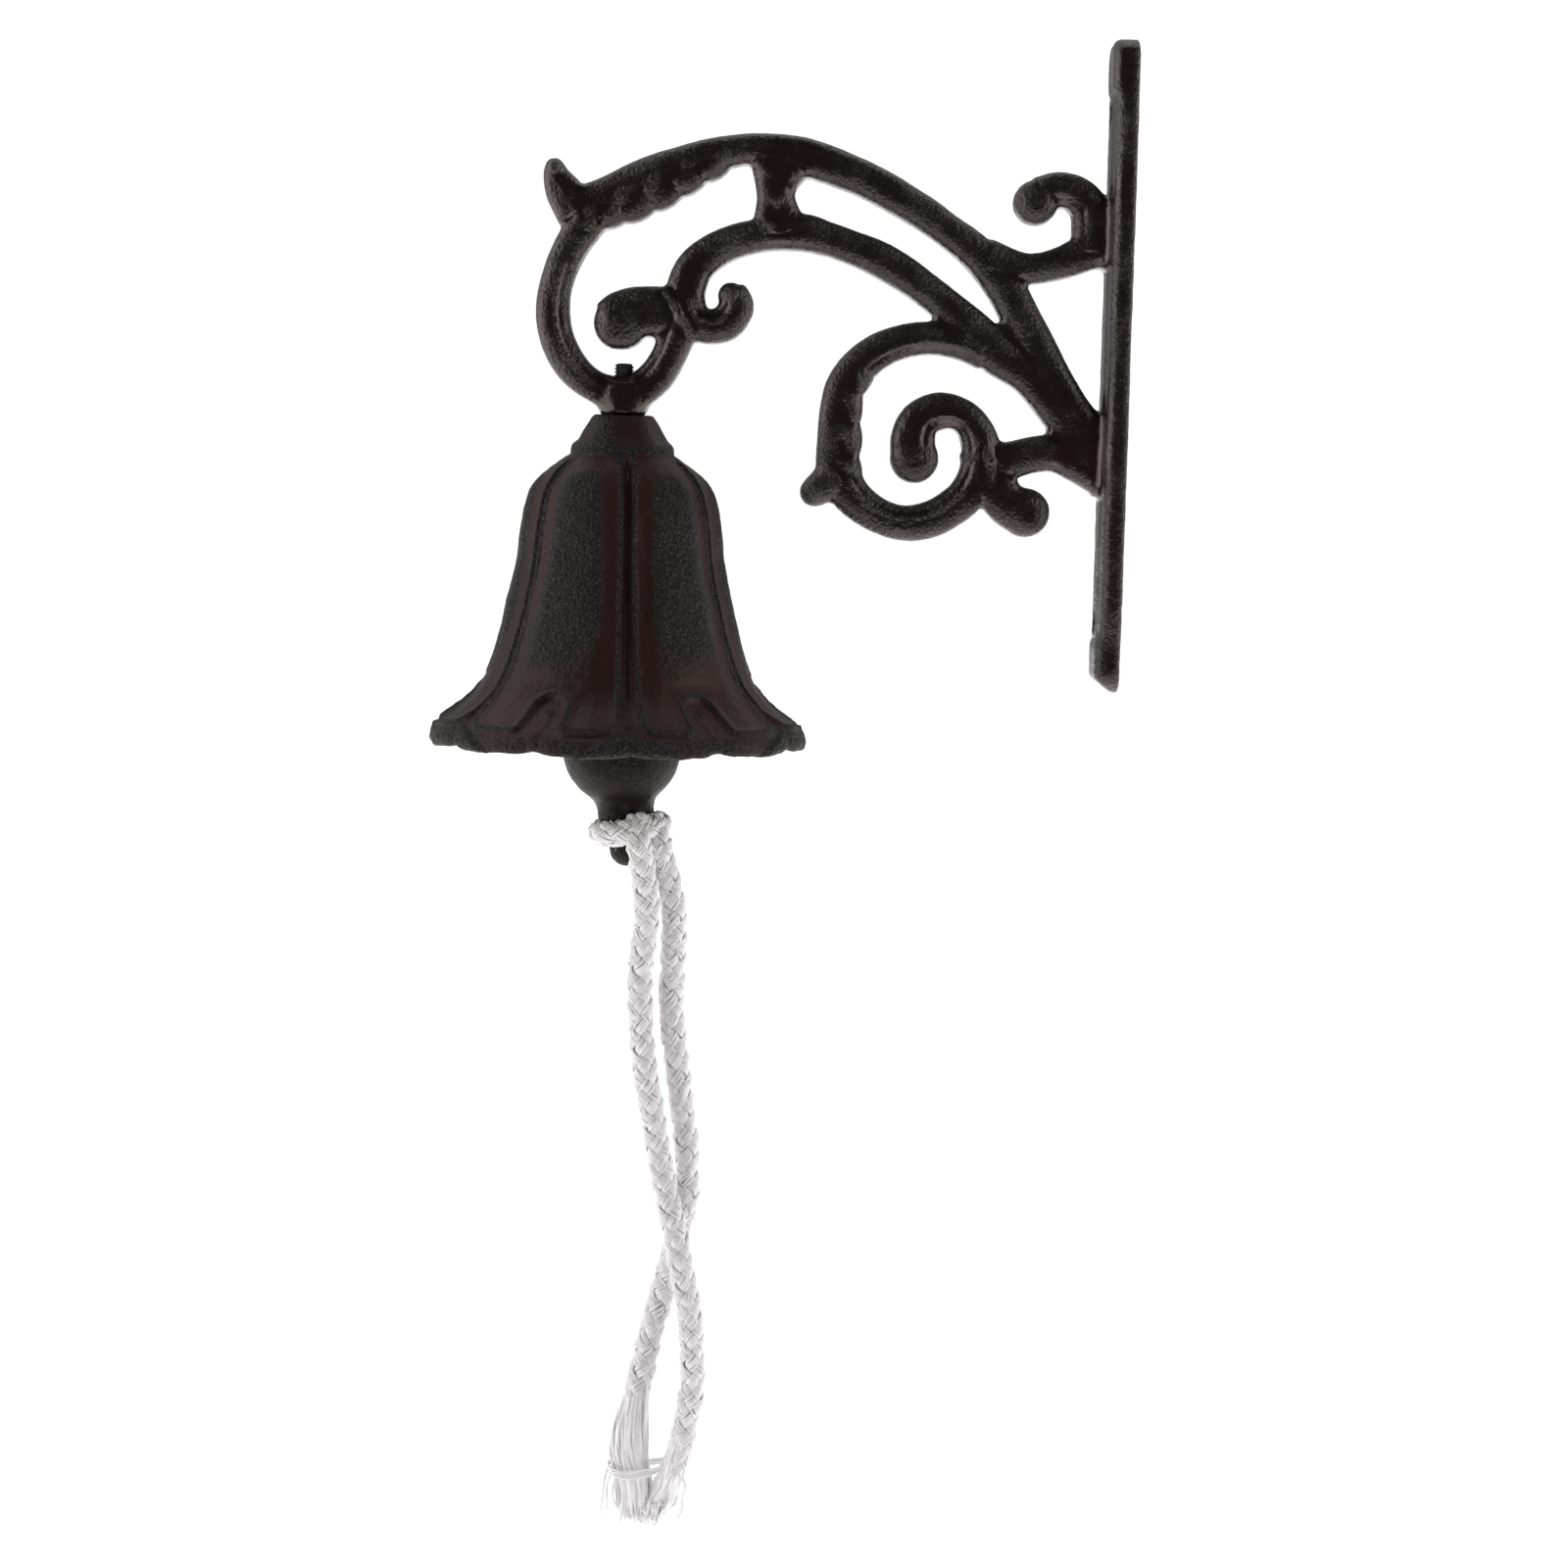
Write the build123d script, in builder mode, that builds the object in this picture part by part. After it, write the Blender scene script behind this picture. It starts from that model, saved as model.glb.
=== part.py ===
from build123d import *
from math import cos, hypot, pi, radians, sin, sqrt, tan
import os

# Wall bell: a scrolled cast bracket holding a flower-shaped bell, with a clapper and a pull rope.
# Millimetres. The wall is the plane Y = 0 and the arm reaches out towards -Y. +Z is up.
# Z = 0 is half-way between the two screw holes of the wall plate.

PLATE_HEIGHT = 163.0
PLATE_WIDTH = 18.0
PLATE_DEPTH = 5.5
PLATE_END_RADIUS = 6.8
SCREW_SPACING = 127.0
SCREW_RADIUS = 3.0

ARM_HALF_DEPTH = 3.4
ARM_FACE_HALF_DEPTH = 4.8
ARM_FACE_SHARE = 0.6

BELL_Y = -127.0
BELL_TOP = -14.3
BELL_CEILING = -22.0
BELL_MOUTH = -97.2
BOSS_RADIUS = 5.4
BOLT_RADIUS = 2.5
BORE_RADIUS = 2.55

EYE_RADIUS = 5.5
EYE_WIRE = 1.7
EYE_Z = -36.5
LINK_BOW = 3.7
LINK_WIRE = 1.4
LINK_LENGTH = 9.0
LOOP_RADIUS = 4.5
LOOP_WIRE = 1.6
BALL_RADIUS = 15.2
BALL_Z = -98.7
ROD_RADIUS = 3.2
NECK_RADIUS = 7.4
ROPE_SEAT_RADIUS = 3.2
NECK_FOOT = -16.5
KNOB_DROP = -25.8
KNOB_RADIUS = 4.8
CLAPPER_TILT = 1.4
TAIL_TILT = 4.6

ROPE_RADIUS = 3.0
HITCH_RADIUS = 7.6
HITCH_CENTRE = (0, -123.5, -119.5)
HITCH_SLANT = 9.5

EYE_BAR_Z = EYE_Z - EYE_RADIUS
LINK_BOTTOM_Z = EYE_BAR_Z - LINK_LENGTH
PIVOT_Z = LINK_BOTTOM_Z - LINK_BOW

bell_axis = Axis((0, BELL_Y, 0), (0, 0, 1))
bell_profile_plane = Plane(origin=(0, BELL_Y, 0), x_dir=(0, 1, 0), z_dir=(1, 0, 0))



def leaning_plane(origin, lean):
    """Upright plane whose local Y leans away from the wall by an angle, for turned shapes."""
    angle = radians(lean)
    return Plane(origin=origin, x_dir=(1, 0, 0), z_dir=(0, -cos(angle), -sin(angle)))


clapper_plane = leaning_plane((0, BELL_Y, PIVOT_Z), CLAPPER_TILT)
ball_drop = (PIVOT_Z - BALL_Z) / cos(radians(CLAPPER_TILT))
ball_centre = clapper_plane.from_local_coords((0, -ball_drop, 0))
tail_plane = leaning_plane(ball_centre, TAIL_TILT)

# Centre lines of the bracket's bars, as (Y, Z) points with the bar's width at each.
ARCH = [
    (-140.5, 37.5, 8), (-133, 40.3, 8), (-124, 44.8, 8), (-115.5, 48.2, 7.6), (-105, 51, 8),
    (-94, 52.3, 8), (-85, 51.5, 8.6), (-79, 50, 8.8), (-71, 47.3, 8.4), (-63.5, 44, 8.2),
    (-53, 38.2, 7.8), (-45.5, 33.2, 7.6), (-38, 27.5, 8.4), (-32, 20.5, 9), (-27.5, 13, 9),
    (-22.6, 4.4, 9), (-17.2, -5.2, 9), (-11.2, -14.4, 10), (-3, -22, 12),
]
LOWER_ARCH = [
    (-111.5, 12, 9.6), (-111.5, 16.5, 9.6), (-110, 22.6, 8.8), (-105.6, 26.8, 8.2),
    (-99.5, 29.8, 7.8), (-91.5, 31.7, 7.8), (-83, 32.3, 8.6), (-76.5, 30.9, 7.8), (-70.5, 29, 7.8),
    (-64, 26.5, 8.2), (-57.4, 23, 8.2), (-52, 19.4, 7.8), (-46.5, 15.3, 8), (-40, 9.8, 9),
    (-33, 3.4, 10), (-25, -2, 9), (-18, -9.5, 9.2), (-11, -18, 10.5), (-3, -27, 13),
]
RING = [
    (-136.5, 34.5, 9), (-140.5, 28.2, 8), (-143.2, 22.4, 7.6), (-144.8, 16.6, 7.6),
    (-145.2, 11.2, 7.9), (-144.4, 5.8, 8), (-142.2, 0.5, 8), (-138.8, -4, 7.6),
    (-134.2, -7.2, 7.4), (-128.5, -9, 8.6), (-123, -7.6, 8.6), (-118.7, -4, 9),
    (-115.8, 1, 9.6), (-113.9, 6, 10.2), (-112.5, 11, 10),
]
TIP_CURL = [(-139.5, 36, 10), (-142.8, 41, 8.6), (-144.7, 44.6, 6), (-145.3, 46.8, 4)]
LEAF = [(-137, 35, 7), (-129, 38.6, 9.4), (-119, 43.2, 9.4), (-109, 47.6, 8), (-99, 51, 5)]
BRIDGE = [(-88.6, 51, 15), (-89.5, 45.6, 10.6), (-89.6, 40, 9.2), (-88.6, 32, 13.5)]
HOOK = [
    (-111.8, 14.5, 9.4), (-109.8, 10, 9), (-104.8, 8.7, 8.2), (-100.2, 10.6, 8.8),
    (-99.3, 14.2, 8.8),
]
BUD = [(-113, 12, 10.5), (-118.5, 12.3, 10.4), (-124, 12.2, 10.4), (-129, 11.2, 8.8)]
UPPER_ARM = [
    (-36, 27, 9), (-28.5, 24.8, 7.6), (-23, 24.9, 7), (-17, 26.6, 7.6), (-10, 29.6, 9),
    (-3, 31, 11),
]
UPPER_SCROLL = [
    (-10.3, 29, 9.4), (-10, 34, 9.6), (-10.8, 39.5, 9), (-14, 43.1, 8.4), (-18.8, 44.4, 8),
    (-23.2, 43.2, 8.2),
]
C_SCROLL = [
    (-36.5, 3.4, 7.6), (-42, 5.7, 7.8), (-49, 6.8, 7.8), (-55.5, 6.1, 7.9), (-62.2, 3.7, 8.4),
    (-67.8, -0.7, 8.8), (-71, -6, 9.4), (-72.2, -12, 9.8), (-72.3, -19, 10.4),
    (-72.3, -26, 10.4), (-69.4, -32.4, 9.4), (-64, -36.9, 8.4), (-57.5, -39.5, 8.2),
    (-51.5, -39.5, 8.6), (-45.5, -37.1, 8.8), (-40, -32.8, 9), (-36.8, -26.5, 9),
    (-36.4, -20, 9), (-38.8, -14.6, 8), (-42.7, -11.8, 8), (-47.6, -11.5, 9),
    (-52.2, -14, 9.4), (-53.6, -19, 10.4),
]
C_TIP = [(-72.5, -28, 10), (-75.8, -30.8, 8.4), (-78.2, -32.4, 6.6)]
LOWER_ARM = [
    (-36, -23, 9), (-30, -23.5, 9), (-24, -22, 8.6), (-18, -21.3, 9), (-12, -22.5, 11),
    (-3, -24.5, 16),
]
LOWER_SCROLL = [(-34, -24.5, 10), (-31.6, -30.2, 10.4), (-28.2, -34.8, 10.4)]
BARS = [
    ARCH, LOWER_ARCH, RING, TIP_CURL, LEAF, BRIDGE, HOOK, BUD, UPPER_ARM, UPPER_SCROLL,
    C_SCROLL, C_TIP, LOWER_ARM, LOWER_SCROLL,
]
# Rounded ends of the scrolls: Y, Z and radius.
KNOBS = [
    (-145.2, 46.8, 2.1), (-99.5, 14.9, 4.5), (-128, 8.8, 6.5), (-24.5, 41.1, 5.3),
    (-53.1, -23.5, 5.8), (-78.2, -32.4, 3.4), (-24.7, -36.4, 5.9),
]

# Outside and inside of the bell, as (radius, Z) points.
BELL_OUTSIDE = [
    (13.2, -24.2), (16, -26), (19.6, -29.3), (22.2, -33.6), (23.6, -38.5), (24.4, -43.5),
    (24.9, -48.5), (25.6, -53), (27, -59), (28.7, -66), (30.7, -72.5), (32.6, -77.5),
    (35.1, -82), (38.8, -86.1), (43.4, -89.7), (47.3, -92.4), (48.4, -95.2),
]
BELL_INSIDE = [
    (46.4, BELL_MOUTH), (43.6, -94.2), (39.2, -90.6), (35, -86.6), (31.6, -81.2), (28.9, -75),
    (26.6, -69), (24.6, -62), (22.6, -55), (21.3, -48), (20.4, -41), (18.4, -34.5),
    (15.2, -28.5), (10.5, BELL_CEILING),
]
PETALS = 6
SCALLOPS = 12
FIRST_GROOVE = 5.0
GROOVE_HALF_WIDTH = 1.1
GROOVE_DEPTH = 0.9
CLEAR_RADIUS = 60.0

# Path of each hanging leg of the rope.
LEFT_LEG = [
    (9.2, -120.4, -122.9), (6.8, -117.4, -138), (3.8, -121.2, -163), (3.4, -115.2, -200),
    (3.4, -108.6, -229), (3, -103.8, -256), (2.6, -105, -274), (2.4, -107.4, -289),
]
RIGHT_LEG = [
    (4.6, -116, -122.4), (1.4, -110.6, -138), (-1.6, -112.8, -168), (-3.2, -105.6, -210),
    (-3.4, -111.4, -236), (-2.8, -116.2, -254), (-2.4, -119.4, -270),
]
CORNER_SHARE = 0.45
FRAY_FOOT = -303.0
TIE_Z = -286.0
TIE_HEIGHT = 1.4


def bar_face(points, share):
    """One bar of the bracket as a flat face: its centre line widened by half its width each way."""
    one_side = []
    other_side = []
    last = len(points) - 1
    for i, (y, z, width) in enumerate(points):
        before = points[max(i - 1, 0)]
        after = points[min(i + 1, last)]
        run_y = after[0] - before[0]
        run_z = after[1] - before[1]
        run = hypot(run_y, run_z)
        half = share * width / 2
        one_side.append((y - run_z / run * half, z + run_y / run * half))
        other_side.append((y + run_z / run * half, z - run_y / run * half))
    with BuildLine() as outline:
        Spline(*one_side)
        Line(one_side[-1], other_side[-1])
        Spline(*reversed(other_side))
        Line(other_side[0], one_side[0])
    make_face(outline.edges())


def bracket_layer(share, half_depth):
    """All the bars and knobs at one share of their width, as thick as twice half_depth."""
    with BuildSketch(Plane.YZ) as layer:
        for bar in BARS:
            bar_face(bar, share)
        for y, z, radius in KNOBS:
            with Locations((y, z)):
                Circle(radius * (1 + share) / 2)
    extrude(layer.sketch, amount=half_depth, both=True)


with BuildPart() as bracket:
    # Scrolled arm: wide core with a narrower raised face on each side.
    bracket_layer(1.0, ARM_HALF_DEPTH)
    bracket_layer(ARM_FACE_SHARE, ARM_FACE_HALF_DEPTH)
    # Whatever reaches the wall side of the plate's front is trimmed before the plate goes on.
    with BuildSketch(Plane.XZ.offset(0.5)):
        Rectangle(4 * PLATE_WIDTH, 2 * PLATE_HEIGHT)
    extrude(amount=-20, mode=Mode.SUBTRACT)
    # Wall plate with a rounded lobe at each end.
    end_z = PLATE_HEIGHT / 2 - PLATE_END_RADIUS
    with BuildSketch(Plane.XZ):
        Rectangle(PLATE_WIDTH, 2 * end_z - 8)
        Rectangle(2 * PLATE_END_RADIUS - 2, 2 * end_z)
        with Locations((0, end_z), (0, -end_z)):
            Circle(PLATE_END_RADIUS)
    extrude(amount=PLATE_DEPTH)
    # Boss under the ring, for the bell.
    with BuildSketch(Plane.XY.offset(BELL_TOP)):
        with Locations((0, BELL_Y)):
            Circle(BOSS_RADIUS)
    extrude(amount=8)
    # Tapped bore through the boss.
    with BuildSketch(Plane.XY.offset(BELL_TOP)):
        with Locations((0, BELL_Y)):
            Circle(BORE_RADIUS)
    extrude(amount=12, mode=Mode.SUBTRACT)
    # Screw holes in the plate.
    with BuildSketch(Plane.XZ):
        with Locations((0, SCREW_SPACING / 2), (0, -SCREW_SPACING / 2)):
            Circle(SCREW_RADIUS)
    extrude(amount=PLATE_DEPTH, mode=Mode.SUBTRACT)
bracket.part.label = "bracket"


with BuildPart() as bell:
    # Hollow bell turned about its axis, with a stepped crown.
    with BuildSketch(bell_profile_plane):
        with BuildLine():
            Polyline(
                (BORE_RADIUS, BELL_CEILING), (BORE_RADIUS, BELL_TOP), (7.7, BELL_TOP),
                (10.9, -20.4), (13, -22.2), BELL_OUTSIDE[0],
            )
            Spline(*BELL_OUTSIDE)
            Polyline(BELL_OUTSIDE[-1], (48.2, BELL_MOUTH), BELL_INSIDE[0])
            Spline(*BELL_INSIDE)
            Line(BELL_INSIDE[-1], (BORE_RADIUS, BELL_CEILING))
        make_face()
    revolve(axis=bell_axis)
    # Shallow scallops round the mouth.
    with BuildSketch(Plane.XY.offset(BELL_MOUTH)):
        with Locations((0, BELL_Y)):
            Circle(38)
            with PolarLocations(24.4, SCALLOPS, start_angle=FIRST_GROOVE + 15):
                Circle(24)
    extrude(amount=-BELL_MOUTH, mode=Mode.INTERSECT)
    # Grooves between the petals, from the shoulder to above the mouth.
    groove_floor = [(radius - GROOVE_DEPTH, z) for radius, z in BELL_OUTSIDE[2:-3]]
    for petal in range(PETALS):
        angle = radians(FIRST_GROOVE + petal * 360 / PETALS)
        groove_plane = Plane(
            origin=(0, BELL_Y, 0),
            x_dir=(cos(angle), sin(angle), 0),
            z_dir=(sin(angle), -cos(angle), 0),
        )
        with BuildSketch(groove_plane):
            with BuildLine():
                Spline(*groove_floor)
                Polyline(
                    groove_floor[-1], (CLEAR_RADIUS, groove_floor[-1][1]),
                    (CLEAR_RADIUS, groove_floor[0][1]), groove_floor[0],
                )
            make_face()
        extrude(amount=GROOVE_HALF_WIDTH, both=True, mode=Mode.SUBTRACT)
bell.part.label = "bell"


with BuildPart() as eye_bolt:
    # Threaded stud up through crown and boss, ending in an eye under the nut.
    stud_top = BELL_TOP + 13
    stud_foot = EYE_Z + EYE_RADIUS - 0.4
    with BuildSketch(Plane.XY.offset(stud_foot)):
        with Locations((0, BELL_Y)):
            Circle(BOLT_RADIUS)
    extrude(amount=stud_top - stud_foot)
    chamfer(eye_bolt.edges().sort_by(Axis.Z)[-1], length=0.5)
    with Locations((0, BELL_Y, EYE_Z)):
        Torus(EYE_RADIUS, EYE_WIRE, rotation=(0, 90, 0))
eye_bolt.part.label = "eye_bolt"


with BuildPart() as crown_washer:
    with BuildSketch(Plane.XY.offset(BELL_CEILING)):
        with Locations((0, BELL_Y)):
            Circle(6)
            Circle(BORE_RADIUS, mode=Mode.SUBTRACT)
    extrude(amount=-1.2)
crown_washer.part.label = "crown_washer"


with BuildPart() as lock_nut:
    with BuildSketch(Plane.XY.offset(BELL_CEILING - 1.2)):
        with Locations((0, BELL_Y)):
            RegularPolygon(radius=4.6, side_count=6)
            Circle(BORE_RADIUS, mode=Mode.SUBTRACT)
    extrude(amount=-4)
lock_nut.part.label = "lock_nut"


with BuildPart() as clapper_link:
    # Long link hanging in the bolt's eye, its two bows joined by straight sides.
    with BuildLine(Plane.XZ.offset(-BELL_Y)) as link_line:
        top_bow = CenterArc((0, EYE_BAR_Z), LINK_BOW, 0, 180)
        low_bow = CenterArc((0, LINK_BOTTOM_Z), LINK_BOW, 180, 180)
        Line(top_bow @ 1, low_bow @ 0)
        Line(low_bow @ 1, top_bow @ 0)
    with BuildSketch(Plane(origin=(LINK_BOW, BELL_Y, EYE_BAR_Z - 2), z_dir=(0, 0, 1))):
        Circle(LINK_WIRE)
    sweep(path=link_line.wire())
clapper_link.part.label = "clapper_link"


with BuildPart() as clapper:
    # Rod and ball, turned about the line from the pivot to the ball's centre.
    loop_centre = LINK_BOW - LOOP_RADIUS
    rod_top = loop_centre - LOOP_RADIUS + 0.4
    ball_top = -ball_drop + sqrt(BALL_RADIUS**2 - ROD_RADIUS**2)
    with BuildSketch(clapper_plane):
        with BuildLine():
            Polyline((0, rod_top), (ROD_RADIUS, rod_top), (ROD_RADIUS, ball_top))
            ThreePointArc(
                (ROD_RADIUS, ball_top), (BALL_RADIUS, -ball_drop), (0, -ball_drop - BALL_RADIUS)
            )
            Line((0, -ball_drop - BALL_RADIUS), (0, rod_top))
        make_face()
    revolve(axis=Axis(clapper_plane.origin, clapper_plane.y_dir))
    with Locations(clapper_plane.from_local_coords((0, loop_centre, 0))):
        Torus(LOOP_RADIUS, LOOP_WIRE, rotation=(0, 90, 0))
    # Neck, rope seat and end knob below the ball, leaning a little more than the rod.
    seat_foot = KNOB_DROP + sqrt(KNOB_RADIUS**2 - ROPE_SEAT_RADIUS**2)
    with BuildSketch(tail_plane):
        with BuildLine():
            Polyline(
                (0, 0), (NECK_RADIUS, 0), (NECK_RADIUS, NECK_FOOT),
                (ROPE_SEAT_RADIUS, NECK_FOOT - 2), (ROPE_SEAT_RADIUS, seat_foot),
            )
            ThreePointArc(
                (ROPE_SEAT_RADIUS, seat_foot), (KNOB_RADIUS, KNOB_DROP),
                (0, KNOB_DROP - KNOB_RADIUS),
            )
            Line((0, KNOB_DROP - KNOB_RADIUS), (0, 0))
        make_face()
    revolve(axis=Axis(tail_plane.origin, tail_plane.y_dir))
clapper.part.label = "clapper"


with BuildPart() as rope_hitch:
    # Turn of rope seated round the clapper's tail, lower on the side away from the wall.
    with Locations(HITCH_CENTRE):
        Torus(HITCH_RADIUS, ROPE_RADIUS, rotation=(HITCH_SLANT, 0, 0))
rope_hitch.part.label = "rope_hitch"


def corner_radii(name, points):
    """Largest round for each corner of a leg that still leaves its two runs a straight piece."""
    route = [Vector(*point) for point in points]
    radii = []
    for before, corner, after in zip(route, route[1:], route[2:]):
        arriving = corner - before
        leaving = after - corner
        turn = radians(arriving.get_angle(leaving))
        shorter = min(arriving.length, leaving.length)
        radii.append(CORNER_SHARE * shorter / tan(turn / 2))
    print(name, "corner radii:", [round(radius, 1) for radius in radii])
    return radii


def hanging_rope(name, points):
    """Round tube along a leg's route, square at both ends."""
    with BuildLine() as route:
        FilletPolyline(*points, radius=corner_radii(name, points))
    path = route.wire()
    with BuildSketch(Plane(origin=path @ 0, z_dir=path % 0)) as section:
        Circle(ROPE_RADIUS)
    sweep(section.sketch, path=path)
    print(name, "length:", round(path.length, 1), "volume:", round(pi * ROPE_RADIUS**2 * path.length))


def frayed_end(points, flare):
    """Tuft of loose yarn that carries a leg on from its cut end down to the fray's foot."""
    foot = Vector(*points[-1])
    heading = (foot - Vector(*points[-2])).normalized()
    with BuildSketch(Plane(origin=foot, z_dir=heading)) as section:
        Circle(ROPE_RADIUS)
    extrude(section.sketch, amount=(FRAY_FOOT - foot.Z) / heading.Z, taper=-flare)


with BuildPart() as rope_leg_left:
    hanging_rope("rope_leg_left", LEFT_LEG)
rope_leg_left.part.label = "rope_leg_left"


with BuildPart() as rope_leg_right:
    hanging_rope("rope_leg_right", RIGHT_LEG)
rope_leg_right.part.label = "rope_leg_right"


with BuildPart() as frayed_end_left:
    frayed_end(LEFT_LEG, 8)
frayed_end_left.part.label = "frayed_end_left"


with BuildPart() as frayed_end_right:
    frayed_end(RIGHT_LEG, 4)
frayed_end_right.part.label = "frayed_end_right"


with BuildPart() as tie_thread:
    # Thin thread looped once round both ends.
    with BuildSketch(Plane.XY.offset(TIE_Z)):
        with Locations((0, -114.6)):
            SlotCenterToCenter(16, 11.4, rotation=72)
            SlotCenterToCenter(16, 10, rotation=72, mode=Mode.SUBTRACT)
    extrude(amount=TIE_HEIGHT)
tie_thread.part.label = "tie_thread"


os.makedirs("parts", exist_ok=True)
for piece in (
    bracket, bell, eye_bolt, crown_washer, lock_nut, clapper_link, clapper, rope_hitch,
    rope_leg_left, rope_leg_right, frayed_end_left, frayed_end_right, tie_thread,
):
    export_step(piece.part, f"parts/{piece.part.label}.step")
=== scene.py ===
"""Wall mounted bell: cast scroll bracket, flower bell, clapper and braided pull rope.

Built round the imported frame. Shapes are worked out in millimetres."""

from math import cos, hypot, pi, radians, sin, sqrt

import bpy
import numpy as np
from mathutils import Matrix, Vector, noise
from mathutils.kdtree import KDTree


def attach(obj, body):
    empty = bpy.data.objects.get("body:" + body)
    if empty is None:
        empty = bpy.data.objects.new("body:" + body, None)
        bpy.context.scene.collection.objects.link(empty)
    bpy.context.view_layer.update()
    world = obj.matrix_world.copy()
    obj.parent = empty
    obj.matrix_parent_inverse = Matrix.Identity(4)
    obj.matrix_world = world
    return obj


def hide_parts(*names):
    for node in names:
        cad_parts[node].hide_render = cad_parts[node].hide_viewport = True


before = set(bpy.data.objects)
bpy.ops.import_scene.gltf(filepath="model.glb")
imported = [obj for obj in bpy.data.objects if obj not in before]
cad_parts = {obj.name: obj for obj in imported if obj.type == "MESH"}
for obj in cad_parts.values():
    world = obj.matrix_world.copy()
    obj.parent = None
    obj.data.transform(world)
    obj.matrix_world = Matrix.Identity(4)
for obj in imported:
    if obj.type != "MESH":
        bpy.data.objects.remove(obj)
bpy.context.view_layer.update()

MM = 0.001
BELL_Y = -127.0
SCREW_Z = 63.5
PLATE_END = 81.5
PLATE_FRONT = -5.5
PLATE_HALF_WIDTH = 9.0
BOLT_BORE = 2.62
PIVOT_Z = -54.7
GOLDEN_TURN = 2.39996


# ---------------------------------------------------------------- camera
def make_camera():
    """Camera level with the bell's crown, looking at the bracket's flat side."""
    pitch = radians(5.7)
    roll = radians(1.35)
    forward = Vector((-cos(pitch), 0, -sin(pitch)))
    right = Vector((0, 1, 0))
    up = Vector((-sin(pitch), 0, cos(pitch)))
    axis_x = cos(roll) * right + sin(roll) * up
    axis_y = -sin(roll) * right + cos(roll) * up
    data = bpy.data.cameras.new("camera")
    data.sensor_width = 36
    data.lens = 67.5
    data.clip_start = 0.02
    data.clip_end = 20
    camera = bpy.data.objects.new("camera", data)
    place = Matrix((axis_x, axis_y, -forward)).transposed().to_4x4()
    place.translation = Vector((0.750, -0.08416, -0.03222))
    camera.matrix_world = place
    bpy.context.scene.collection.objects.link(camera)
    bpy.context.scene.camera = camera


make_camera()


# ---------------------------------------------------------------- mesh helpers
def piece(name, points, faces, material=None):
    """Mesh object from points in millimetres."""
    mesh = bpy.data.meshes.new(name)
    mesh.from_pydata((np.asarray(points, float) * MM).tolist(), [], faces)
    mesh.validate()
    mesh.update()
    mesh.shade_smooth()
    obj = bpy.data.objects.new(name, mesh)
    bpy.context.scene.collection.objects.link(obj)
    if material:
        mesh.materials.append(material)
    return obj


def smoothstep(value):
    t = np.clip(value, 0, 1)
    return t * t * (3 - 2 * t)


def smooth_min(a, b, reach):
    """Union of two distance fields with a fillet of about that reach."""
    h = np.maximum(reach - np.abs(a - b), 0) / reach
    return np.minimum(a, b) - h * h * reach / 4


def rounded_box(u, v, radius):
    """Distance to a corner-rounded section, from its distances past the two flats."""
    u = u + radius
    v = v + radius
    outside = np.sqrt(np.maximum(u, 0) ** 2 + np.maximum(v, 0) ** 2)
    return outside + np.minimum(np.maximum(u, v), 0) - radius


def bump(value, width):
    """Soft bell-shaped bump, 1 where the value is 0."""
    return np.exp(-((value / width) ** 2))


def curve_point(a, b, c, d, t):
    """Point on the smooth curve from b to c, where a comes before them and d after."""
    bend = 2 * a - 5 * b + 4 * c - d
    return 0.5 * (2 * b + (c - a) * t + bend * t**2 + (3 * b - a - 3 * c + d) * t**3)


def turns_of(count):
    """Angles of that many even steps round a circle."""
    return 2 * pi * np.arange(count) / count


def ring_quads(rows, columns, first=0, looped=False):
    """Quads between rings of points; looped also joins the last ring to the first."""
    ids = first + np.arange(rows * columns).reshape(rows, columns)
    down = np.roll(ids, -1, axis=0)
    quads = np.stack([ids, np.roll(ids, -1, 1), np.roll(down, -1, 1), down], axis=-1)
    return quads[: rows if looped else rows - 1].reshape(-1, 4)


def surface_net(field, origin, step):
    """Closed quad surface where a distance field crosses zero."""
    inside = field < 0
    shape = np.array(field.shape) - 1
    filled = np.zeros(shape, np.int8)
    for dx in (0, 1):
        for dy in (0, 1):
            for dz in (0, 1):
                filled += inside[dx:, dy:, dz:][: shape[0], : shape[1], : shape[2]]
    active = (filled > 0) & (filled < 8)
    cells = np.argwhere(active)
    index = np.full(shape, -1, np.int64)
    index[active] = np.arange(len(cells))
    total = np.zeros((len(cells), 3))
    count = np.zeros(len(cells))
    for axis in range(3):
        along = np.eye(3, dtype=int)[axis]
        for code in range(4):
            corner = np.zeros(3, int)
            corner[(axis + 1) % 3] = code & 1
            corner[(axis + 2) % 3] = code >> 1
            a = field[tuple((cells + corner).T)]
            b = field[tuple((cells + corner + along).T)]
            crossing = (a < 0) != (b < 0)
            share = np.where(crossing, a / np.where(a == b, 1, a - b), 0)
            total += (corner + share[:, None] * along) * crossing[:, None]
            count += crossing
    points = origin + (cells + total / count[:, None]) * step
    quads = []
    for axis in range(3):
        first = np.roll(np.arange(3), -axis)
        turned = inside.transpose(first)
        ids = index.transpose(first)
        low = turned[:-1, 1:-1, 1:-1]
        high = turned[1:, 1:-1, 1:-1]
        around = [ids[:, :-1, :-1], ids[:, 1:, :-1], ids[:, 1:, 1:], ids[:, :-1, 1:]]
        ring = np.stack(around, axis=-1)
        leaving = low & ~high
        entering = ~low & high
        quads.append(ring[leaving])
        quads.append(ring[entering][:, ::-1])
    quads = np.concatenate(quads)
    return points, quads[(quads >= 0).all(1)]


def neighbour_mean(values, edges, count):
    total = np.zeros_like(values)
    np.add.at(total, edges[:, 0], values[edges[:, 1]])
    np.add.at(total, edges[:, 1], values[edges[:, 0]])
    return total / count[:, None]


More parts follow.
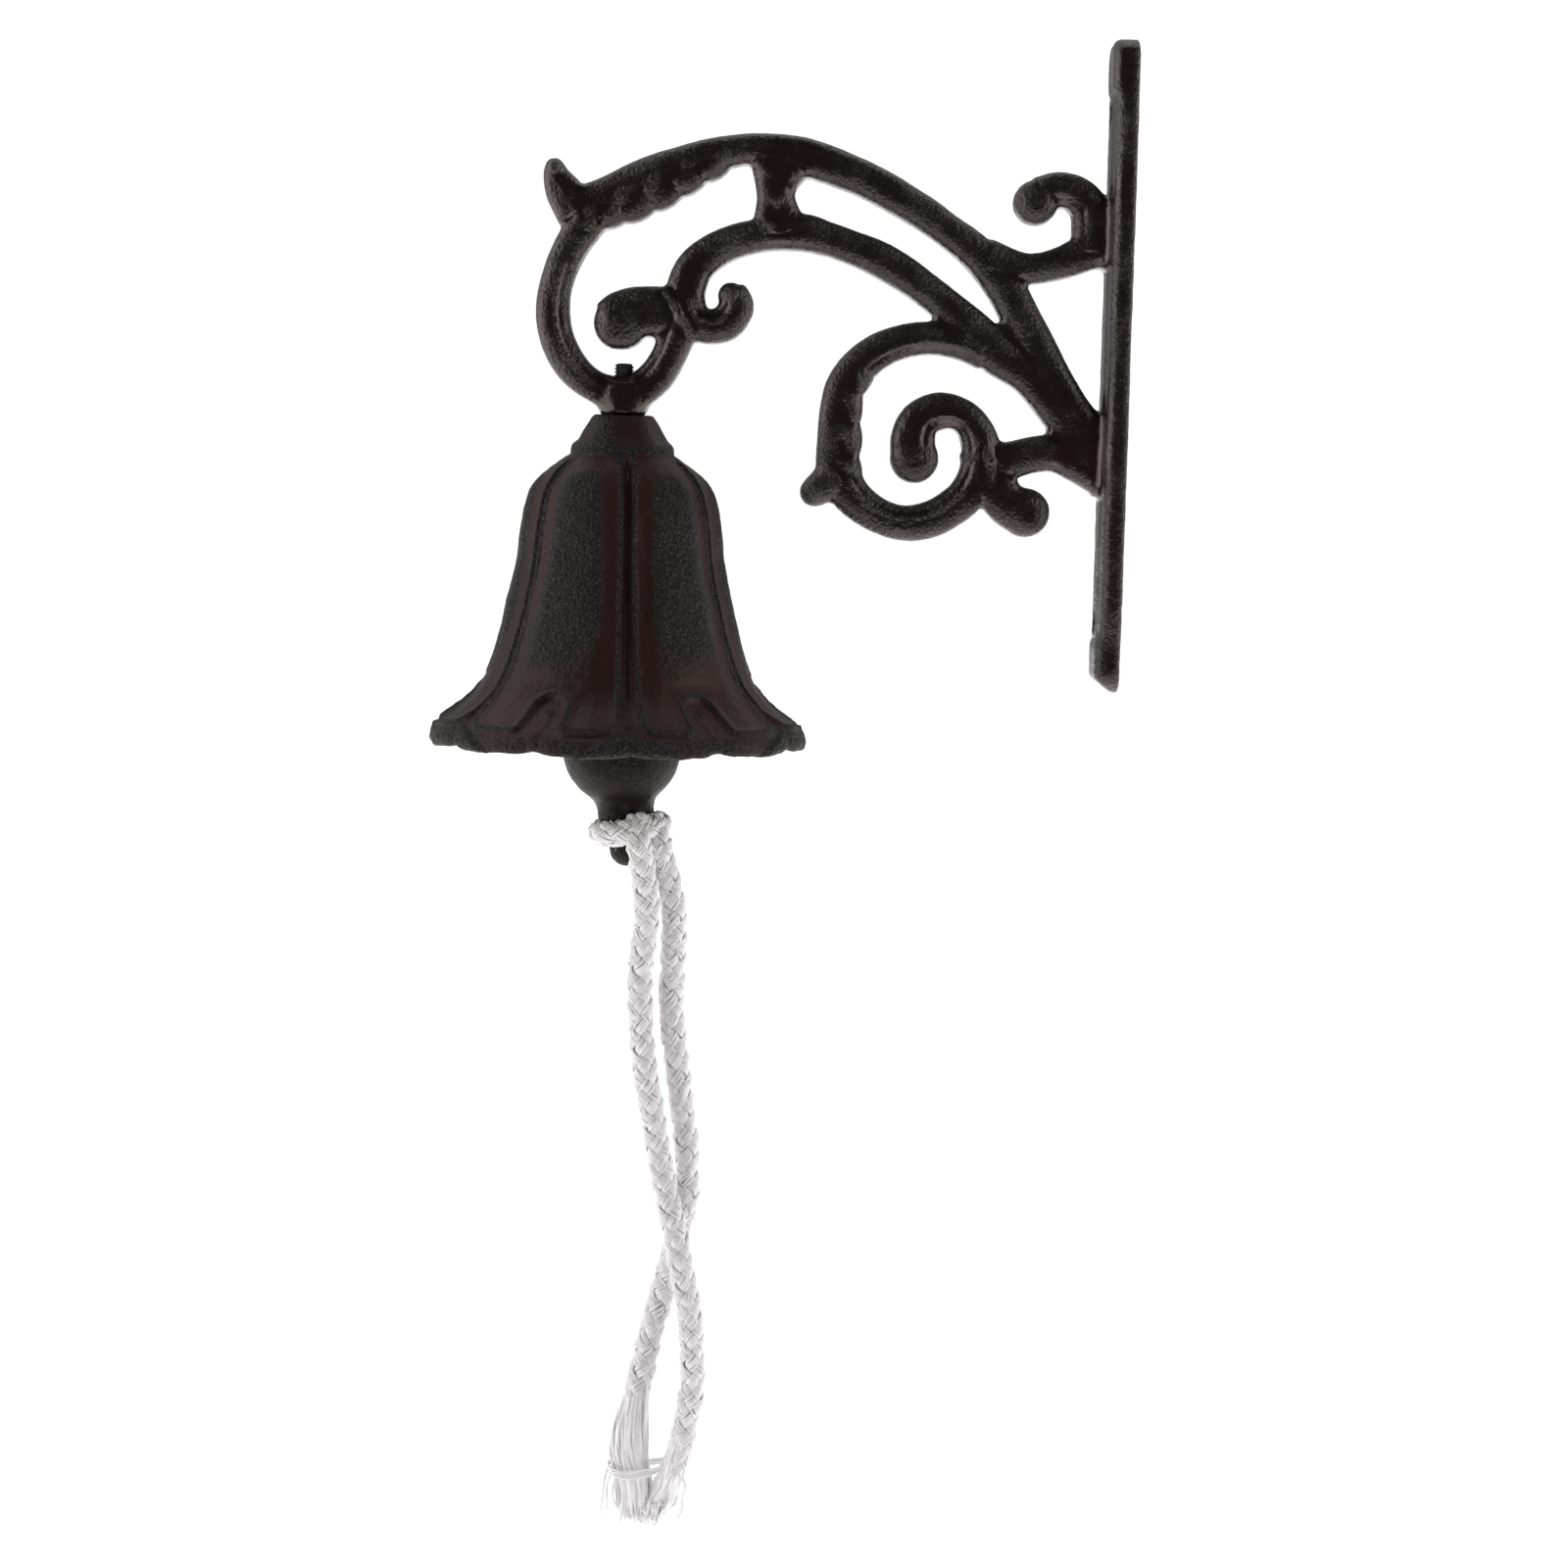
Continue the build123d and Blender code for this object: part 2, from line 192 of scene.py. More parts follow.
def edges_of(quads, size):
    pairs = np.concatenate([quads[:, [i, (i + 1) % 4]] for i in range(4)])
    pairs = np.unique(np.sort(pairs, axis=1), axis=0)
    count = np.bincount(pairs.ravel(), minlength=size)
    return pairs, np.maximum(count, 1)


def normals_of(points, quads):
    a, b, c, d = (points[quads[:, corner]] for corner in range(4))
    across = np.cross(c - a, d - b)
    total = np.zeros_like(points)
    for corner in range(4):
        np.add.at(total, quads[:, corner], across)
    return total / np.maximum(np.linalg.norm(total, axis=1, keepdims=True), 1e-12)


def cast_piece(name, points, quads, material, seed, relax=2, rough=1.0, proud=None):
    """Cast surface: relaxed, made slightly wavy, and marked with how proud each place stands."""
    pairs, count = edges_of(quads, len(points))
    for _ in range(relax):
        points = points + 0.5 * (neighbour_mean(points, pairs, count) - points)
        points = points - 0.52 * (neighbour_mean(points, pairs, count) - points)
    normals = normals_of(points, quads)
    shift = Vector((seed * 7.3, seed * 3.1, seed * 1.7))
    wave = np.array([
        0.11 * noise.noise(Vector(p) * 0.16 + shift)
        + 0.055 * noise.noise(Vector(p) * 0.55 - shift)
        + 0.045 * noise.noise(Vector(p) * 1.25 + shift)
        for p in points.tolist()
    ])
    points = points + normals * (rough * wave)[:, None]
    if proud is None:
        calm = points
        for _ in range(14):
            calm = neighbour_mean(calm, pairs, count)
        proud = 0.36 + 1.3 * ((points - calm) * normals).sum(1)
    obj = piece(name, points, quads.tolist(), material)
    mark = obj.data.attributes.new("proud", "FLOAT", "POINT")
    mark.data.foreach_set("value", np.clip(proud, 0, 1).astype(np.float32))
    return obj


def tube_points(line, radii, sides):
    """Rings of a tube along a line of points, its frame carried along without twisting."""
    line = np.asarray(line, float)
    ahead = np.gradient(line, axis=0)
    ahead /= np.maximum(np.linalg.norm(ahead, axis=1, keepdims=True), 1e-12)
    side = np.cross(ahead[0], [0.3, 0.2, 1.0] if abs(ahead[0][2]) < 0.9 else [1.0, 0.2, 0.1])
    side /= np.linalg.norm(side)
    across = np.cos(turns_of(sides))[:, None]
    upward = np.sin(turns_of(sides))[:, None]
    rings = np.empty((len(line), sides, 3))
    for i, direction in enumerate(ahead):
        side = side - direction * (side @ direction)
        side /= np.linalg.norm(side)
        rings[i] = line[i] + radii[i] * (across * side + upward * np.cross(direction, side))
    return rings


class Strands:
    """Many thin tubes gathered into one mesh."""

    def __init__(self):
        self.points = []
        self.faces = []
        self.size = 0

    def add(self, line, radii, sides=6):
        rings = tube_points(line, radii, sides)
        end = self.size + len(rings) * sides
        self.points.append(rings.reshape(-1, 3))
        self.faces.extend(ring_quads(len(rings), sides, self.size).tolist())
        self.faces.append(list(range(self.size + sides - 1, self.size - 1, -1)))
        self.faces.append(list(range(end - sides, end)))
        self.size = end

    def build(self, name, material):
        return piece(name, np.concatenate(self.points), self.faces, material)


def sides_along(line):
    """Two vectors square to a line at each of its points, carried along without twist."""
    ahead = np.gradient(line, axis=0)
    ahead /= np.linalg.norm(ahead, axis=1, keepdims=True)
    side = np.cross(ahead[0], [0.0, 1.0, 0.0])
    sides = []
    for direction in ahead:
        side = side - direction * (side @ direction)
        side = side / np.linalg.norm(side)
        sides.append(side)
    sides = np.array(sides)
    return sides, np.cross(ahead, sides)


def spaced(line, step):
    """The same line with points an even step apart, and how far along each is."""
    line = np.asarray(line, float)
    along = np.concatenate([[0], np.cumsum(np.linalg.norm(np.diff(line, axis=0), axis=1))])
    at = np.linspace(0, along[-1], max(3, int(round(along[-1] / step)) + 1))
    return np.stack([np.interp(at, along, line[:, k]) for k in range(3)], axis=1), at


# ---------------------------------------------------------------- node materials
def adder(tree):
    """Helper that adds a node to the tree, with its settings, and links or fills its sockets."""

    def add(kind, links=None, **settings):
        node = tree.nodes.new(kind)
        for key, value in settings.items():
            setattr(node, key, value)
        for socket, source in (links or {}).items():
            if isinstance(source, bpy.types.NodeSocket):
                tree.links.new(source, node.inputs[socket])
            else:
                node.inputs[socket].default_value = source
        return node

    return add


def shader(name):
    """New material, its Principled node, and helpers to add nodes and link them to it."""
    material = bpy.data.materials.new(name)
    material.use_nodes = True
    tree = material.node_tree
    base = tree.nodes["Principled BSDF"]

    def link(source, target):
        tree.links.new(source, base.inputs[target])

    return material, base, adder(tree), link


def texture(add, place, scale, detail, rough=0.5):
    """Value of a noise texture."""
    links = {"Vector": place, "Scale": scale, "Detail": detail, "Roughness": rough}
    return add("ShaderNodeTexNoise", links).outputs["Fac"]


def arith(add, operation, a, b):
    return add("ShaderNodeMath", {0: a, 1: b}, operation=operation).outputs[0]


def roughen(add, height, strength, distance, under=None):
    """Normals bumped by a height, over those already bumped."""
    links = {"Height": height, "Strength": strength, "Distance": distance}
    if under is not None:
        links["Normal"] = under
    return add("ShaderNodeBump", links).outputs["Normal"]


def ramp(add, source, stops):
    """The source remapped through (position, value) stops."""
    node = add("ShaderNodeValToRGB", {"Fac": source})
    while len(node.color_ramp.elements) < len(stops):
        node.color_ramp.elements.new(0.5)
    for element, (position, colour) in zip(node.color_ramp.elements, stops):
        element.position = position
        element.color = (colour, colour, colour, 1)
    return node.outputs["Color"]


def mix(add, share, a, b):
    """Colour a, going to colour b as the share goes to 1."""
    node = add("ShaderNodeMix", data_type="RGBA")
    for socket, source in (("Factor", share), ("A", a), ("B", b)):
        if isinstance(source, tuple):
            node.inputs[socket].default_value = (*source, 1)
        else:
            node.id_data.links.new(source, node.inputs[socket])
    return node.outputs["Result"]


def cast_iron(name, flat, proud, grain, gloss, satin, relief):
    """Bronzed, satin-painted cast iron, brown in the hollows and blackish where it is proud, with
    light specks painted on the proud places as glints.
    """
    material, base, add, link = shader(name)
    place = add("ShaderNodeTexCoord").outputs["Object"]
    pebble = texture(add, place, grain, 3.0, 0.6)
    cells = {"Vector": place, "Scale": grain * 0.8}
    pits = add("ShaderNodeTexVoronoi", cells, feature="SMOOTH_F1")
    cloud = texture(add, place, 95.0, 4.0, 0.55)
    patch = texture(add, place, 34.0, 2.0)
    glint_noise = texture(add, place, grain * 1.7, 1.0)
    worn = add("ShaderNodeAttribute", attribute_name="proud").outputs["Fac"]
    lifted = arith(add, "MULTIPLY", arith(add, "ADD", worn, cloud), 0.5)
    share = ramp(add, lifted, [(0.40, 0.0), (0.64, 1.0)])
    body = mix(add, share, flat, proud)
    body = mix(add, ramp(add, patch, [(0.38, 0.0), (0.66, 0.55)]), body, proud)
    # Light specks painted into the colour of the proud places: painted glints off the pebbled
    # paint.
    glint_spots = ramp(add, glint_noise, [(0.52, 0.0), (0.74, 0.55)])
    link(mix(add, arith(add, "MULTIPLY", glint_spots, share), body, PAINTED_GLINT), "Base Color")
    dull = add("ShaderNodeMapRange", {"Value": share, "To Min": satin, "To Max": satin + 0.14})
    link(dull.outputs[0], "Roughness")
    coarse = add("ShaderNodeMapRange", {"Value": share, "To Min": 0.12, "To Max": 1.0})
    sand = arith(add, "ADD", pebble, pits.outputs["Distance"])
    fine = roughen(add, sand, coarse.outputs[0], relief)
    link(roughen(add, cloud, 0.2, 0.0008, fine), "Normal")
    base.inputs["Metallic"].default_value = 0.0
    base.inputs["Specular IOR Level"].default_value = gloss
    base.inputs["Specular Tint"].default_value = (1.0, 0.84, 0.80, 1)
    return material


def steel(name, tint, rough):
    """Plated steel with fine scratches and dull patches."""
    material, base, add, link = shader(name)
    place = add("ShaderNodeTexCoord").outputs["Object"]
    streak = texture(add, place, 900.0, 3.0)
    cloud = texture(add, place, 220.0, 4.0)
    dull = tuple(channel * 0.45 for channel in tint)
    link(mix(add, ramp(add, cloud, [(0.35, 0.0), (0.7, 1.0)]), tint, dull), "Base Color")
    link(ramp(add, streak, [(0.3, rough), (0.75, rough + 0.22)]), "Roughness")
    link(roughen(add, streak, 0.25, 0.0001), "Normal")
    base.inputs["Metallic"].default_value = 1.0
    return material


def cotton(name, light, shade):
    """Natural cotton yarn: soft, slightly pinkish shade between fibres."""
    material, base, add, link = shader(name)
    place = add("ShaderNodeTexCoord").outputs["Object"]
    lint = texture(add, place, 2600.0, 4.0, 0.7)
    cloud = texture(add, place, 160.0, 3.0)
    body = mix(add, ramp(add, cloud, [(0.35, 0.0), (0.7, 0.8)]), light, shade)
    body = mix(add, ramp(add, lint, [(0.35, 0.5), (0.6, 0.0)]), body, shade)
    link(body, "Base Color")
    link(ramp(add, lint, [(0.3, 0.95), (0.7, 0.8)]), "Roughness")
    link(roughen(add, lint, 0.6, 0.00025), "Normal")
    base.inputs["Sheen Weight"].default_value = 0.25
    base.inputs["Sheen Roughness"].default_value = 0.5
    base.inputs["Specular IOR Level"].default_value = 0.15
    return material


# Base colours are linear. After them come grain, gloss, satin roughness and depth of relief.
# Colour of the painted glint specks on proud cast iron.
PAINTED_GLINT = (0.105, 0.096, 0.091)
bracket_iron = cast_iron(
    "bracket_iron", (0.0110, 0.0048, 0.0038), (0.0060, 0.0052, 0.0045), 1500.0, 0.75, 0.20, 0.0003
)
bell_iron = cast_iron(
    "bell_iron", (0.0275, 0.0118, 0.0102), (0.0092, 0.0084, 0.0076), 1350.0, 0.15, 0.40, 0.0006
)
clapper_iron = cast_iron(
    "clapper_iron", (0.0100, 0.0056, 0.0046), (0.0062, 0.0056, 0.0049), 1600.0, 0.12, 0.38, 0.0004
)
bolt_steel = steel("bolt_steel", (0.09, 0.088, 0.085), 0.5)
inner_steel = steel("inner_steel", (0.42, 0.41, 0.39), 0.32)
cotton_rope = cotton("cotton_rope", (0.92, 0.90, 0.905), (0.76, 0.725, 0.735))
cotton_yarn = cotton("cotton_yarn", (0.95, 0.94, 0.94), (0.87, 0.85, 0.86))


# ---------------------------------------------------------------- rope
# Control points of the two hanging legs, in metres, close to the part's own routes.
LEFT_LEG = [
    (0.0092, -0.1204, -0.1229), (0.0068, -0.1174, -0.138), (0.0038, -0.1212, -0.163),
    (0.0034, -0.1152, -0.2), (0.0034, -0.1086, -0.229), (0.003, -0.1038, -0.256),
    (0.0026, -0.1052, -0.274), (0.0024, -0.1092, -0.2885),
]
RIGHT_LEG = [
    (0.0046, -0.116, -0.1224), (0.0014, -0.1106, -0.138), (-0.0016, -0.1128, -0.168),
    (-0.0032, -0.1056, -0.21), (-0.0034, -0.1114, -0.236), (-0.0028, -0.1162, -0.254),
    (-0.0024, -0.1194, -0.27),
]
CARRIERS = 4
YARNS = 6
BRAID_PITCH = 21.0
BRAID_RADIUS = 2.5
BRAID_SWELL = 0.58
YARN_RADIUS = 0.34
YARN_GAP = 0.215
YARN_STEP = 0.66
HITCH_RADIUS = 7.6
HITCH_PITCH = 47.75 / 2.5
# Blender's noise vectors start from the clock unless they are given a seed.
WANDER_SEED = 1794907785
noise.seed_set(WANDER_SEED)


def route_line(points):
    """Centre line of the smooth route that control points make, read from its own spline."""
    curve = bpy.data.curves.new("route", "CURVE")
    curve.dimensions = "3D"
    curve.resolution_u = 24
    spline = curve.splines.new("NURBS")
    spline.points.add(len(points) - 1)
    for control, point in zip(spline.points, points):
        control.co = (*point, 1)
    spline.order_u = 3
    spline.use_endpoint_u = True
    bare = bpy.data.objects.new("route", curve)
    mesh = bpy.data.meshes.new_from_object(bare)
    line = np.array([v.co for v in mesh.vertices])
    bpy.data.meshes.remove(mesh)
    bpy.data.curves.remove(curve)
    return line


def braid(strands, line, seed, slack=0.45, pitch=BRAID_PITCH):
    """Eight flat ribbons of parallel yarns, four turning each way, plaited over a soft core."""
    draw = np.random.default_rng(seed)
    line, along = spaced(line, YARN_STEP)
    places = along.tolist()
    wobble = [noise.noise_vector(Vector((s * 0.09, seed * 3.7, 1.3))) for s in places]
    line = line + slack * np.array(wobble)
    side, other = sides_along(line)
    lumps = [1 + 0.13 * noise.noise(Vector((s * 0.22, seed * 1.9, 5.1))) for s in places]
    lumps = np.array(lumps)
    for carrier in range(2 * CARRIERS):
        hand = 1 if carrier < CARRIERS else -1
        start = 2 * pi * (carrier % CARRIERS) / CARRIERS
        loose = 0.16 * draw.uniform(-1, 1)
        for yarn in range(YARNS):
            aside = (yarn - (YARNS - 1) / 2) * YARN_GAP
            lift = draw.uniform(-0.05, 0.05)
            meander = draw.uniform(0, 6.28)
            wander = np.sin(along * 0.9 + meander) + np.sin(along * 0.37 + 2 * meander)
            angle = hand * 2 * pi * along / pitch + start + aside + 0.05 * wander + loose
            beat = (along + hand * aside * pitch / (4 * pi)) * CARRIERS / pitch
            over = hand * np.cos(2 * pi * beat)
            bow = 0.13 * (1 - (2 * aside / (YARN_GAP * YARNS)) ** 2)
            radius = (lumps * (BRAID_RADIUS + BRAID_SWELL * over) + lift + bow)[:, None]
            out = np.cos(angle)[:, None] * side + np.sin(angle)[:, None] * other
            thick = YARN_RADIUS * (1 + 0.12 * np.sin(along * 1.7 + meander * 3))
            strands.add(line + radius * out, thick)
    strands.add(line, np.full(len(line), BRAID_RADIUS - 0.25), 10)
    return line, side, other


def fuzz(strands, line, side, other, seed, hairs):
    """Short stray fibres standing out of the rope."""
    draw = np.random.default_rng(seed)
    for _ in range(hairs):
        at = int(draw.integers(2, len(line) - 3))
        turn = draw.uniform(0, 2 * pi)
        out = cos(turn) * side[at] + sin(turn) * other[at]
        root = line[at] + out * 2.8
        drift = draw.uniform(-1, 1, 3)
        reach = draw.uniform(0.6, 1.5)
        path = [root + reach * (out * t + drift * 0.55 * t * t) for t in (0, 0.35, 0.7, 1.0)]
        strands.add(path, [0.06, 0.055, 0.045, 0.02], 3)


def rope_leg(name, points, seed, hairs):
    """Braided leg along its route, and the route's centre line in metres."""
    line = route_line(points)
    strands = Strands()
    middle, side, other = braid(strands, line / MM, seed)
    fuzz(strands, middle, side, other, seed + 50, hairs)
    return strands.build(name, cotton_rope), line


left_leg, left_line = rope_leg("rope_leg_left_braid", LEFT_LEG, 11, 150)
right_leg, right_line = rope_leg("rope_leg_right_braid", RIGHT_LEG, 23, 130)


def hitch_piece():
    """Braided turn of rope round the clapper's tail, the legs' upper ends tucked up behind it."""
    strands = Strands()
    slant = radians(9.5)
    turns = np.linspace(0, 2 * pi, 161) + pi
    across = np.sin(turns)
    ring = np.stack([np.cos(turns), across * cos(slant), across * sin(slant)], axis=1)
    ring = np.array([0.0, -123.5, -119.5]) + HITCH_RADIUS * ring
    middle, side, other = braid(strands, ring, 5, slack=0.12, pitch=HITCH_PITCH)
    fuzz(strands, middle, side, other, 77, 90)
    share = np.linspace(0, 1, 14)[:, None]
    for leg_top, inner, seed in (
        ((9.2, -120.4, -122.9), (5.6, -121.2, -116.6), 31),
        ((4.6, -116.0, -122.4), (2.6, -117.6, -116.2), 37),
    ):
        low = np.array(leg_top) + (0.15, -0.1, -1.0)
        knee = np.array(leg_top) + (0.2, -0.2, 2.2)
        left = 1 - share
        bend = left**2 * low + 2 * share * left * knee + share**2 * np.array(inner)
        braid(strands, bend, seed, slack=0.0)
    return strands.build("rope_hitch_braid", cotton_rope)


hitch = hitch_piece()


def hanging_yarn(stations, draw, steps=34):
    """Smooth, slightly crinkled line through stations."""
    stations = np.asarray(stations, float)
    knots = np.linspace(0, 1, len(stations))
    at = np.linspace(0, 1, steps)
    line = np.stack([np.interp(at, knots, stations[:, k]) for k in range(3)], axis=1)
    for _ in range(5):
        line[1:-1] = (line[:-2] + 2 * line[1:-1] + line[2:]) / 4
    phase = draw.uniform(0, 6.28, 3)
    beat = draw.uniform(9, 17, 3)
    crinkle = np.stack([np.sin(at * beat[k] + phase[k]) for k in range(3)], axis=1)
    return line + crinkle * 0.3 * np.sin(at * pi)[:, None] ** 0.5 * np.array([1, 1, 0.2])


def frayed_piece(name, end_line, cover, widths, foot_of, strays, count, seed):
    """Unlaid yarns: they carry on from the braid's last turns, swell, and hang to uneven tips.

    cover is how far up the braid they reach. widths gives height, middle and half sizes of the
    bundle, and foot_of where a yarn's tip hangs. strays are lines of single loose yarns."""
    draw = np.random.default_rng(seed)
    strands = Strands()
    end = end_line[-1] / MM
    back = end_line[-6] / MM
    heading = (end - back) / np.linalg.norm(end - back)
    packing = 18
    for i in range(packing):
        # Matted fibres that fill the middle of the bundle.
        turn = i * GOLDEN_TURN
        out = np.array([cos(turn), sin(turn), 0.0]) * 0.74 * sqrt((i + 0.5) / packing)
        stations = [end - heading * 1.0 + out * 2.4]
        for height, centre_y, half_x, half_y in widths:
            stations.append([0.3 + out[0] * half_x, centre_y + out[1] * half_y, height])
        stations.append(np.array(foot_of(out, draw)) + (0, 0, 2.5))
        strands.add(hanging_yarn(stations, draw), np.full(34, 1.25), 8)
    for i in range(count):
        spread = sqrt((i + 0.5) / count) * draw.uniform(0.9, 1.05)
        turn = i * GOLDEN_TURN
        out = np.array([cos(turn), sin(turn), 0.0]) * spread
        stations = [end - heading * cover + out * 2.7, end - heading * 1.0 + out * 3.25]
        for height, centre_y, half_x, half_y in widths:
            turn += draw.uniform(0.05, 0.3)
            out = np.array([cos(turn), sin(turn), 0.0]) * spread
            stations.append([0.3 + out[0] * half_x, centre_y + out[1] * half_y, height])
        stations.append(foot_of(out, draw))
        line = hanging_yarn(stations, draw)
        at = np.linspace(0, 1, len(line))
        strands.add(line, 0.44 * (1 - 0.6 * at**6) * (1 + 0.14 * np.sin(at * 40 + turn)))
    for stations in strays:
        line = hanging_yarn(stations, draw)
        at = np.linspace(0, 1, len(line))
        strands.add(line, 0.4 * (1 - 0.5 * at**5))
        for _ in range(2):
            strands.add(line[10:] + draw.normal(0, 0.16, 3), 0.13 * (1 - 0.5 * at[10:]), 4)
    return strands.build(name, cotton_yarn)


def right_foot(out, draw):
    return [out[0] * 3.0 - 0.5, -119.2 + out[1] * 4.4, -299.6 - draw.uniform(0, 3.6)]


def left_foot(out, draw):
    height = -301.6 - draw.uniform(-1.6, 1.4) + max(out[1], 0) * 3.5
    return [out[0] * 3.0 + 1.0, -114.2 + out[1] * 4.2, height]


right_fray = frayed_piece(
    "frayed_end_right_yarn", right_line, 6.0,
    [
        (-277, -120.7, 3.5, 4.4), (-283.5, -120.7, 3.5, 4.9), (-289, -119.9, 3.3, 4.9),
        (-295, -119.2, 3.0, 4.6),
    ],
    right_foot,
    [
        [(-0.5, -122.2, -272), (0.6, -124.6, -281), (0.8, -126.6, -291), (0.6, -128.1, -301.2)],
        [(1.2, -122.0, -274), (1.8, -124.2, -284), (1.6, -126.3, -292), (1.5, -125.9, -300.2)],
        [(0.4, -120.8, -276), (2.4, -123.3, -288), (2.2, -125.2, -295), (1.8, -123.2, -298.6)],
        [(1.4, -120.2, -278), (2.6, -122.4, -290), (2.4, -121.9, -297), (2.0, -122.9, -302.6)],
        [(0.2, -118.8, -279), (2.9, -121.0, -290), (2.8, -119.8, -297), (2.6, -118.4, -302.8)],
    ],
    130, 3,
)
left_fray = frayed_piece(
    "frayed_end_left_yarn", left_line, 13.0,
    [(-293.5, -111.0, 3.0, 4.0), (-297.5, -113.0, 3.0, 4.6)],
    left_foot,
    [
        [(3.2, -106.6, -286), (3.6, -105.8, -292), (3.2, -106.4, -297), (3.0, -107.2, -301.2)],
        [(3.6, -108.6, -285), (4.0, -109.0, -293), (3.6, -111.0, -298), (3.4, -113.6, -302.6)],
    ],
    120, 8,
)


def tie_piece():
    """A few turns of thin thread holding both frayed ends, sagging across the front."""
    draw = np.random.default_rng(4)
    strands = Strands()
    for turn in range(4):
        drop = 0.62 * turn
        bight = np.array([
            (0.4, -126.2, -287.2 - drop), (3.6, -124.6, -287.5 - drop),
            (4.9, -121.0, -287.8 - drop), (5.0, -117.0, -287.5 - drop),
            (4.4, -113.4, -286.6 - 0.8 * drop), (3.6, -110.6, -285.4 - 0.7 * drop),
            (1.6, -107.6, -284.9 - 0.6 * drop), (-2.0, -107.8, -285.6 - 0.6 * drop),
            (-3.9, -112.0, -286.8 - 0.7 * drop), (-4.4, -118.5, -287.5 - drop),
            (-3.2, -124.2, -287.5 - drop),
        ])
        bight += draw.normal(0, 0.14, bight.shape)
        corners = [np.roll(bight, shift, 0) for shift in (1, 0, -1, -2)]
        loop = [curve_point(*four, t) for four in zip(*corners) for t in np.arange(8) / 8]
        loop.append(loop[0])
        strands.add(loop, np.full(len(loop), 0.27))
    return strands.build("tie_thread_turns", cotton_yarn)


tie = tie_piece()


# ---------------------------------------------------------------- cast bracket
# Bars as (Y, Z, width) points along their middles, and knobs as (Y, Z, radius), in millimetres.
ARCH = [
    (-140.5, 37.5, 8), (-133, 40.3, 8), (-124, 44.8, 8), (-115.5, 48.2, 7.6), (-105, 51.3, 7.4),
    (-94, 52.7, 7.2), (-85, 51.5, 8.6), (-79, 50, 8.8), (-71, 47.3, 8.4), (-63.5, 44, 8.2),
    (-53, 38.2, 7.8), (-45.5, 33.2, 7.6), (-38, 27.5, 8.4), (-32, 20.5, 9), (-27.5, 13, 9),
    (-22.6, 4.4, 9), (-17.2, -5.2, 9), (-11.2, -14.4, 10), (-3, -22, 12),
]
LOWER_ARCH = [
    (-112, 12, 9.2), (-112.1, 16.5, 9.2), (-110, 22.6, 8.8), (-105.6, 26.8, 8.2),
    (-99.5, 29.8, 7.8), (-91.5, 31.7, 7.8), (-83, 32.3, 8.6), (-76.5, 30.9, 7.8),
    (-70.5, 29, 7.8), (-64, 26.5, 8.2), (-57.4, 23, 8.2), (-52, 19.4, 7.8), (-46.5, 15.3, 8),
    (-40, 9.8, 9), (-33, 3.4, 10), (-25, -2, 9), (-18, -9.5, 9.2), (-11, -18, 10.5),
    (-3, -27, 13),
]
RING = [
    (-136.5, 34.5, 9), (-140.5, 28.2, 8), (-143.2, 22.4, 7.6), (-144.8, 16.6, 7.6),
    (-145.2, 11.2, 7.9), (-144.4, 5.8, 8), (-142.2, 0.5, 8), (-138.8, -4, 7.6),
    (-134.2, -7.2, 7.4), (-128.5, -9, 8.6), (-123, -7.6, 8.6), (-118.7, -4, 8.4),
    (-115.8, 1, 8.0), (-114, 6, 8.8), (-112.5, 11, 10),
]
TIP_CURL = [(-139.5, 36, 10), (-142.8, 41, 8.6), (-144.7, 44.6, 6), (-145.3, 46.8, 4)]
LEAF = [(-137, 35, 7), (-129, 38.6, 9.4), (-119, 43.2, 9.4), (-109, 48.1, 7.2), (-101, 51, 4.5)]
BRIDGE = [(-88.6, 51, 15), (-89.5, 45.6, 10.6), (-89.6, 40, 9.2), (-88.6, 32, 13.5)]
HOOK = [
    (-112, 14.5, 9.4), (-110.3, 10.2, 9), (-105.9, 8.45, 8.1), (-101.6, 9.5, 8.5),
    (-99.1, 13, 8.2), (-99.4, 15.8, 7.2), (-100.2, 17, 5.8),
]
BUD = [
    (-113, 12, 11), (-118.5, 11.8, 12), (-124, 11.6, 12), (-128.5, 10.7, 10.8), (-131.5, 9.2, 8),
]
UPPER_ARM = [
    (-36, 27, 9), (-28.5, 24.8, 7.6), (-23, 24.9, 7), (-17, 26.6, 7.6), (-10, 29.6, 9),
    (-3, 31, 11),
]
UPPER_SCROLL = [
    (-10.3, 29, 9.4), (-10, 34, 9.6), (-10.8, 39.5, 9), (-14, 43.1, 8.4), (-18.8, 44.4, 8),
    (-23.2, 43.2, 8.2),
]
UPPER_ROOT = [(-12, 38.2, 8), (-4, 37.4, 8.4)]
C_SCROLL = [
    (-36.5, 3.4, 7.6), (-42, 5.7, 7.8), (-49, 6.8, 7.8), (-55.5, 6.1, 7.9), (-62.2, 3.7, 8.4),
    (-67.8, -0.7, 8.8), (-71, -6, 9.4), (-72.2, -12, 9.8), (-72.3, -19, 10.4),
    (-72.3, -26, 10.4), (-69.4, -32.4, 9.4), (-64, -36.9, 8.4), (-57.5, -39.5, 8.2),
    (-51.5, -39.5, 8.6), (-45.5, -37.1, 8.8), (-40, -32.8, 9), (-36.8, -26.5, 9),
    (-36.4, -20, 9), (-38.8, -14.6, 8), (-42.7, -11.8, 8), (-47.6, -11.5, 9), (-52.2, -14, 9.4),
    (-53.6, -19, 10.6), (-53.2, -24, 10.4),
]
C_TIP = [(-72.5, -28, 10), (-75.8, -30.8, 8.4), (-78.2, -32.4, 6.6)]
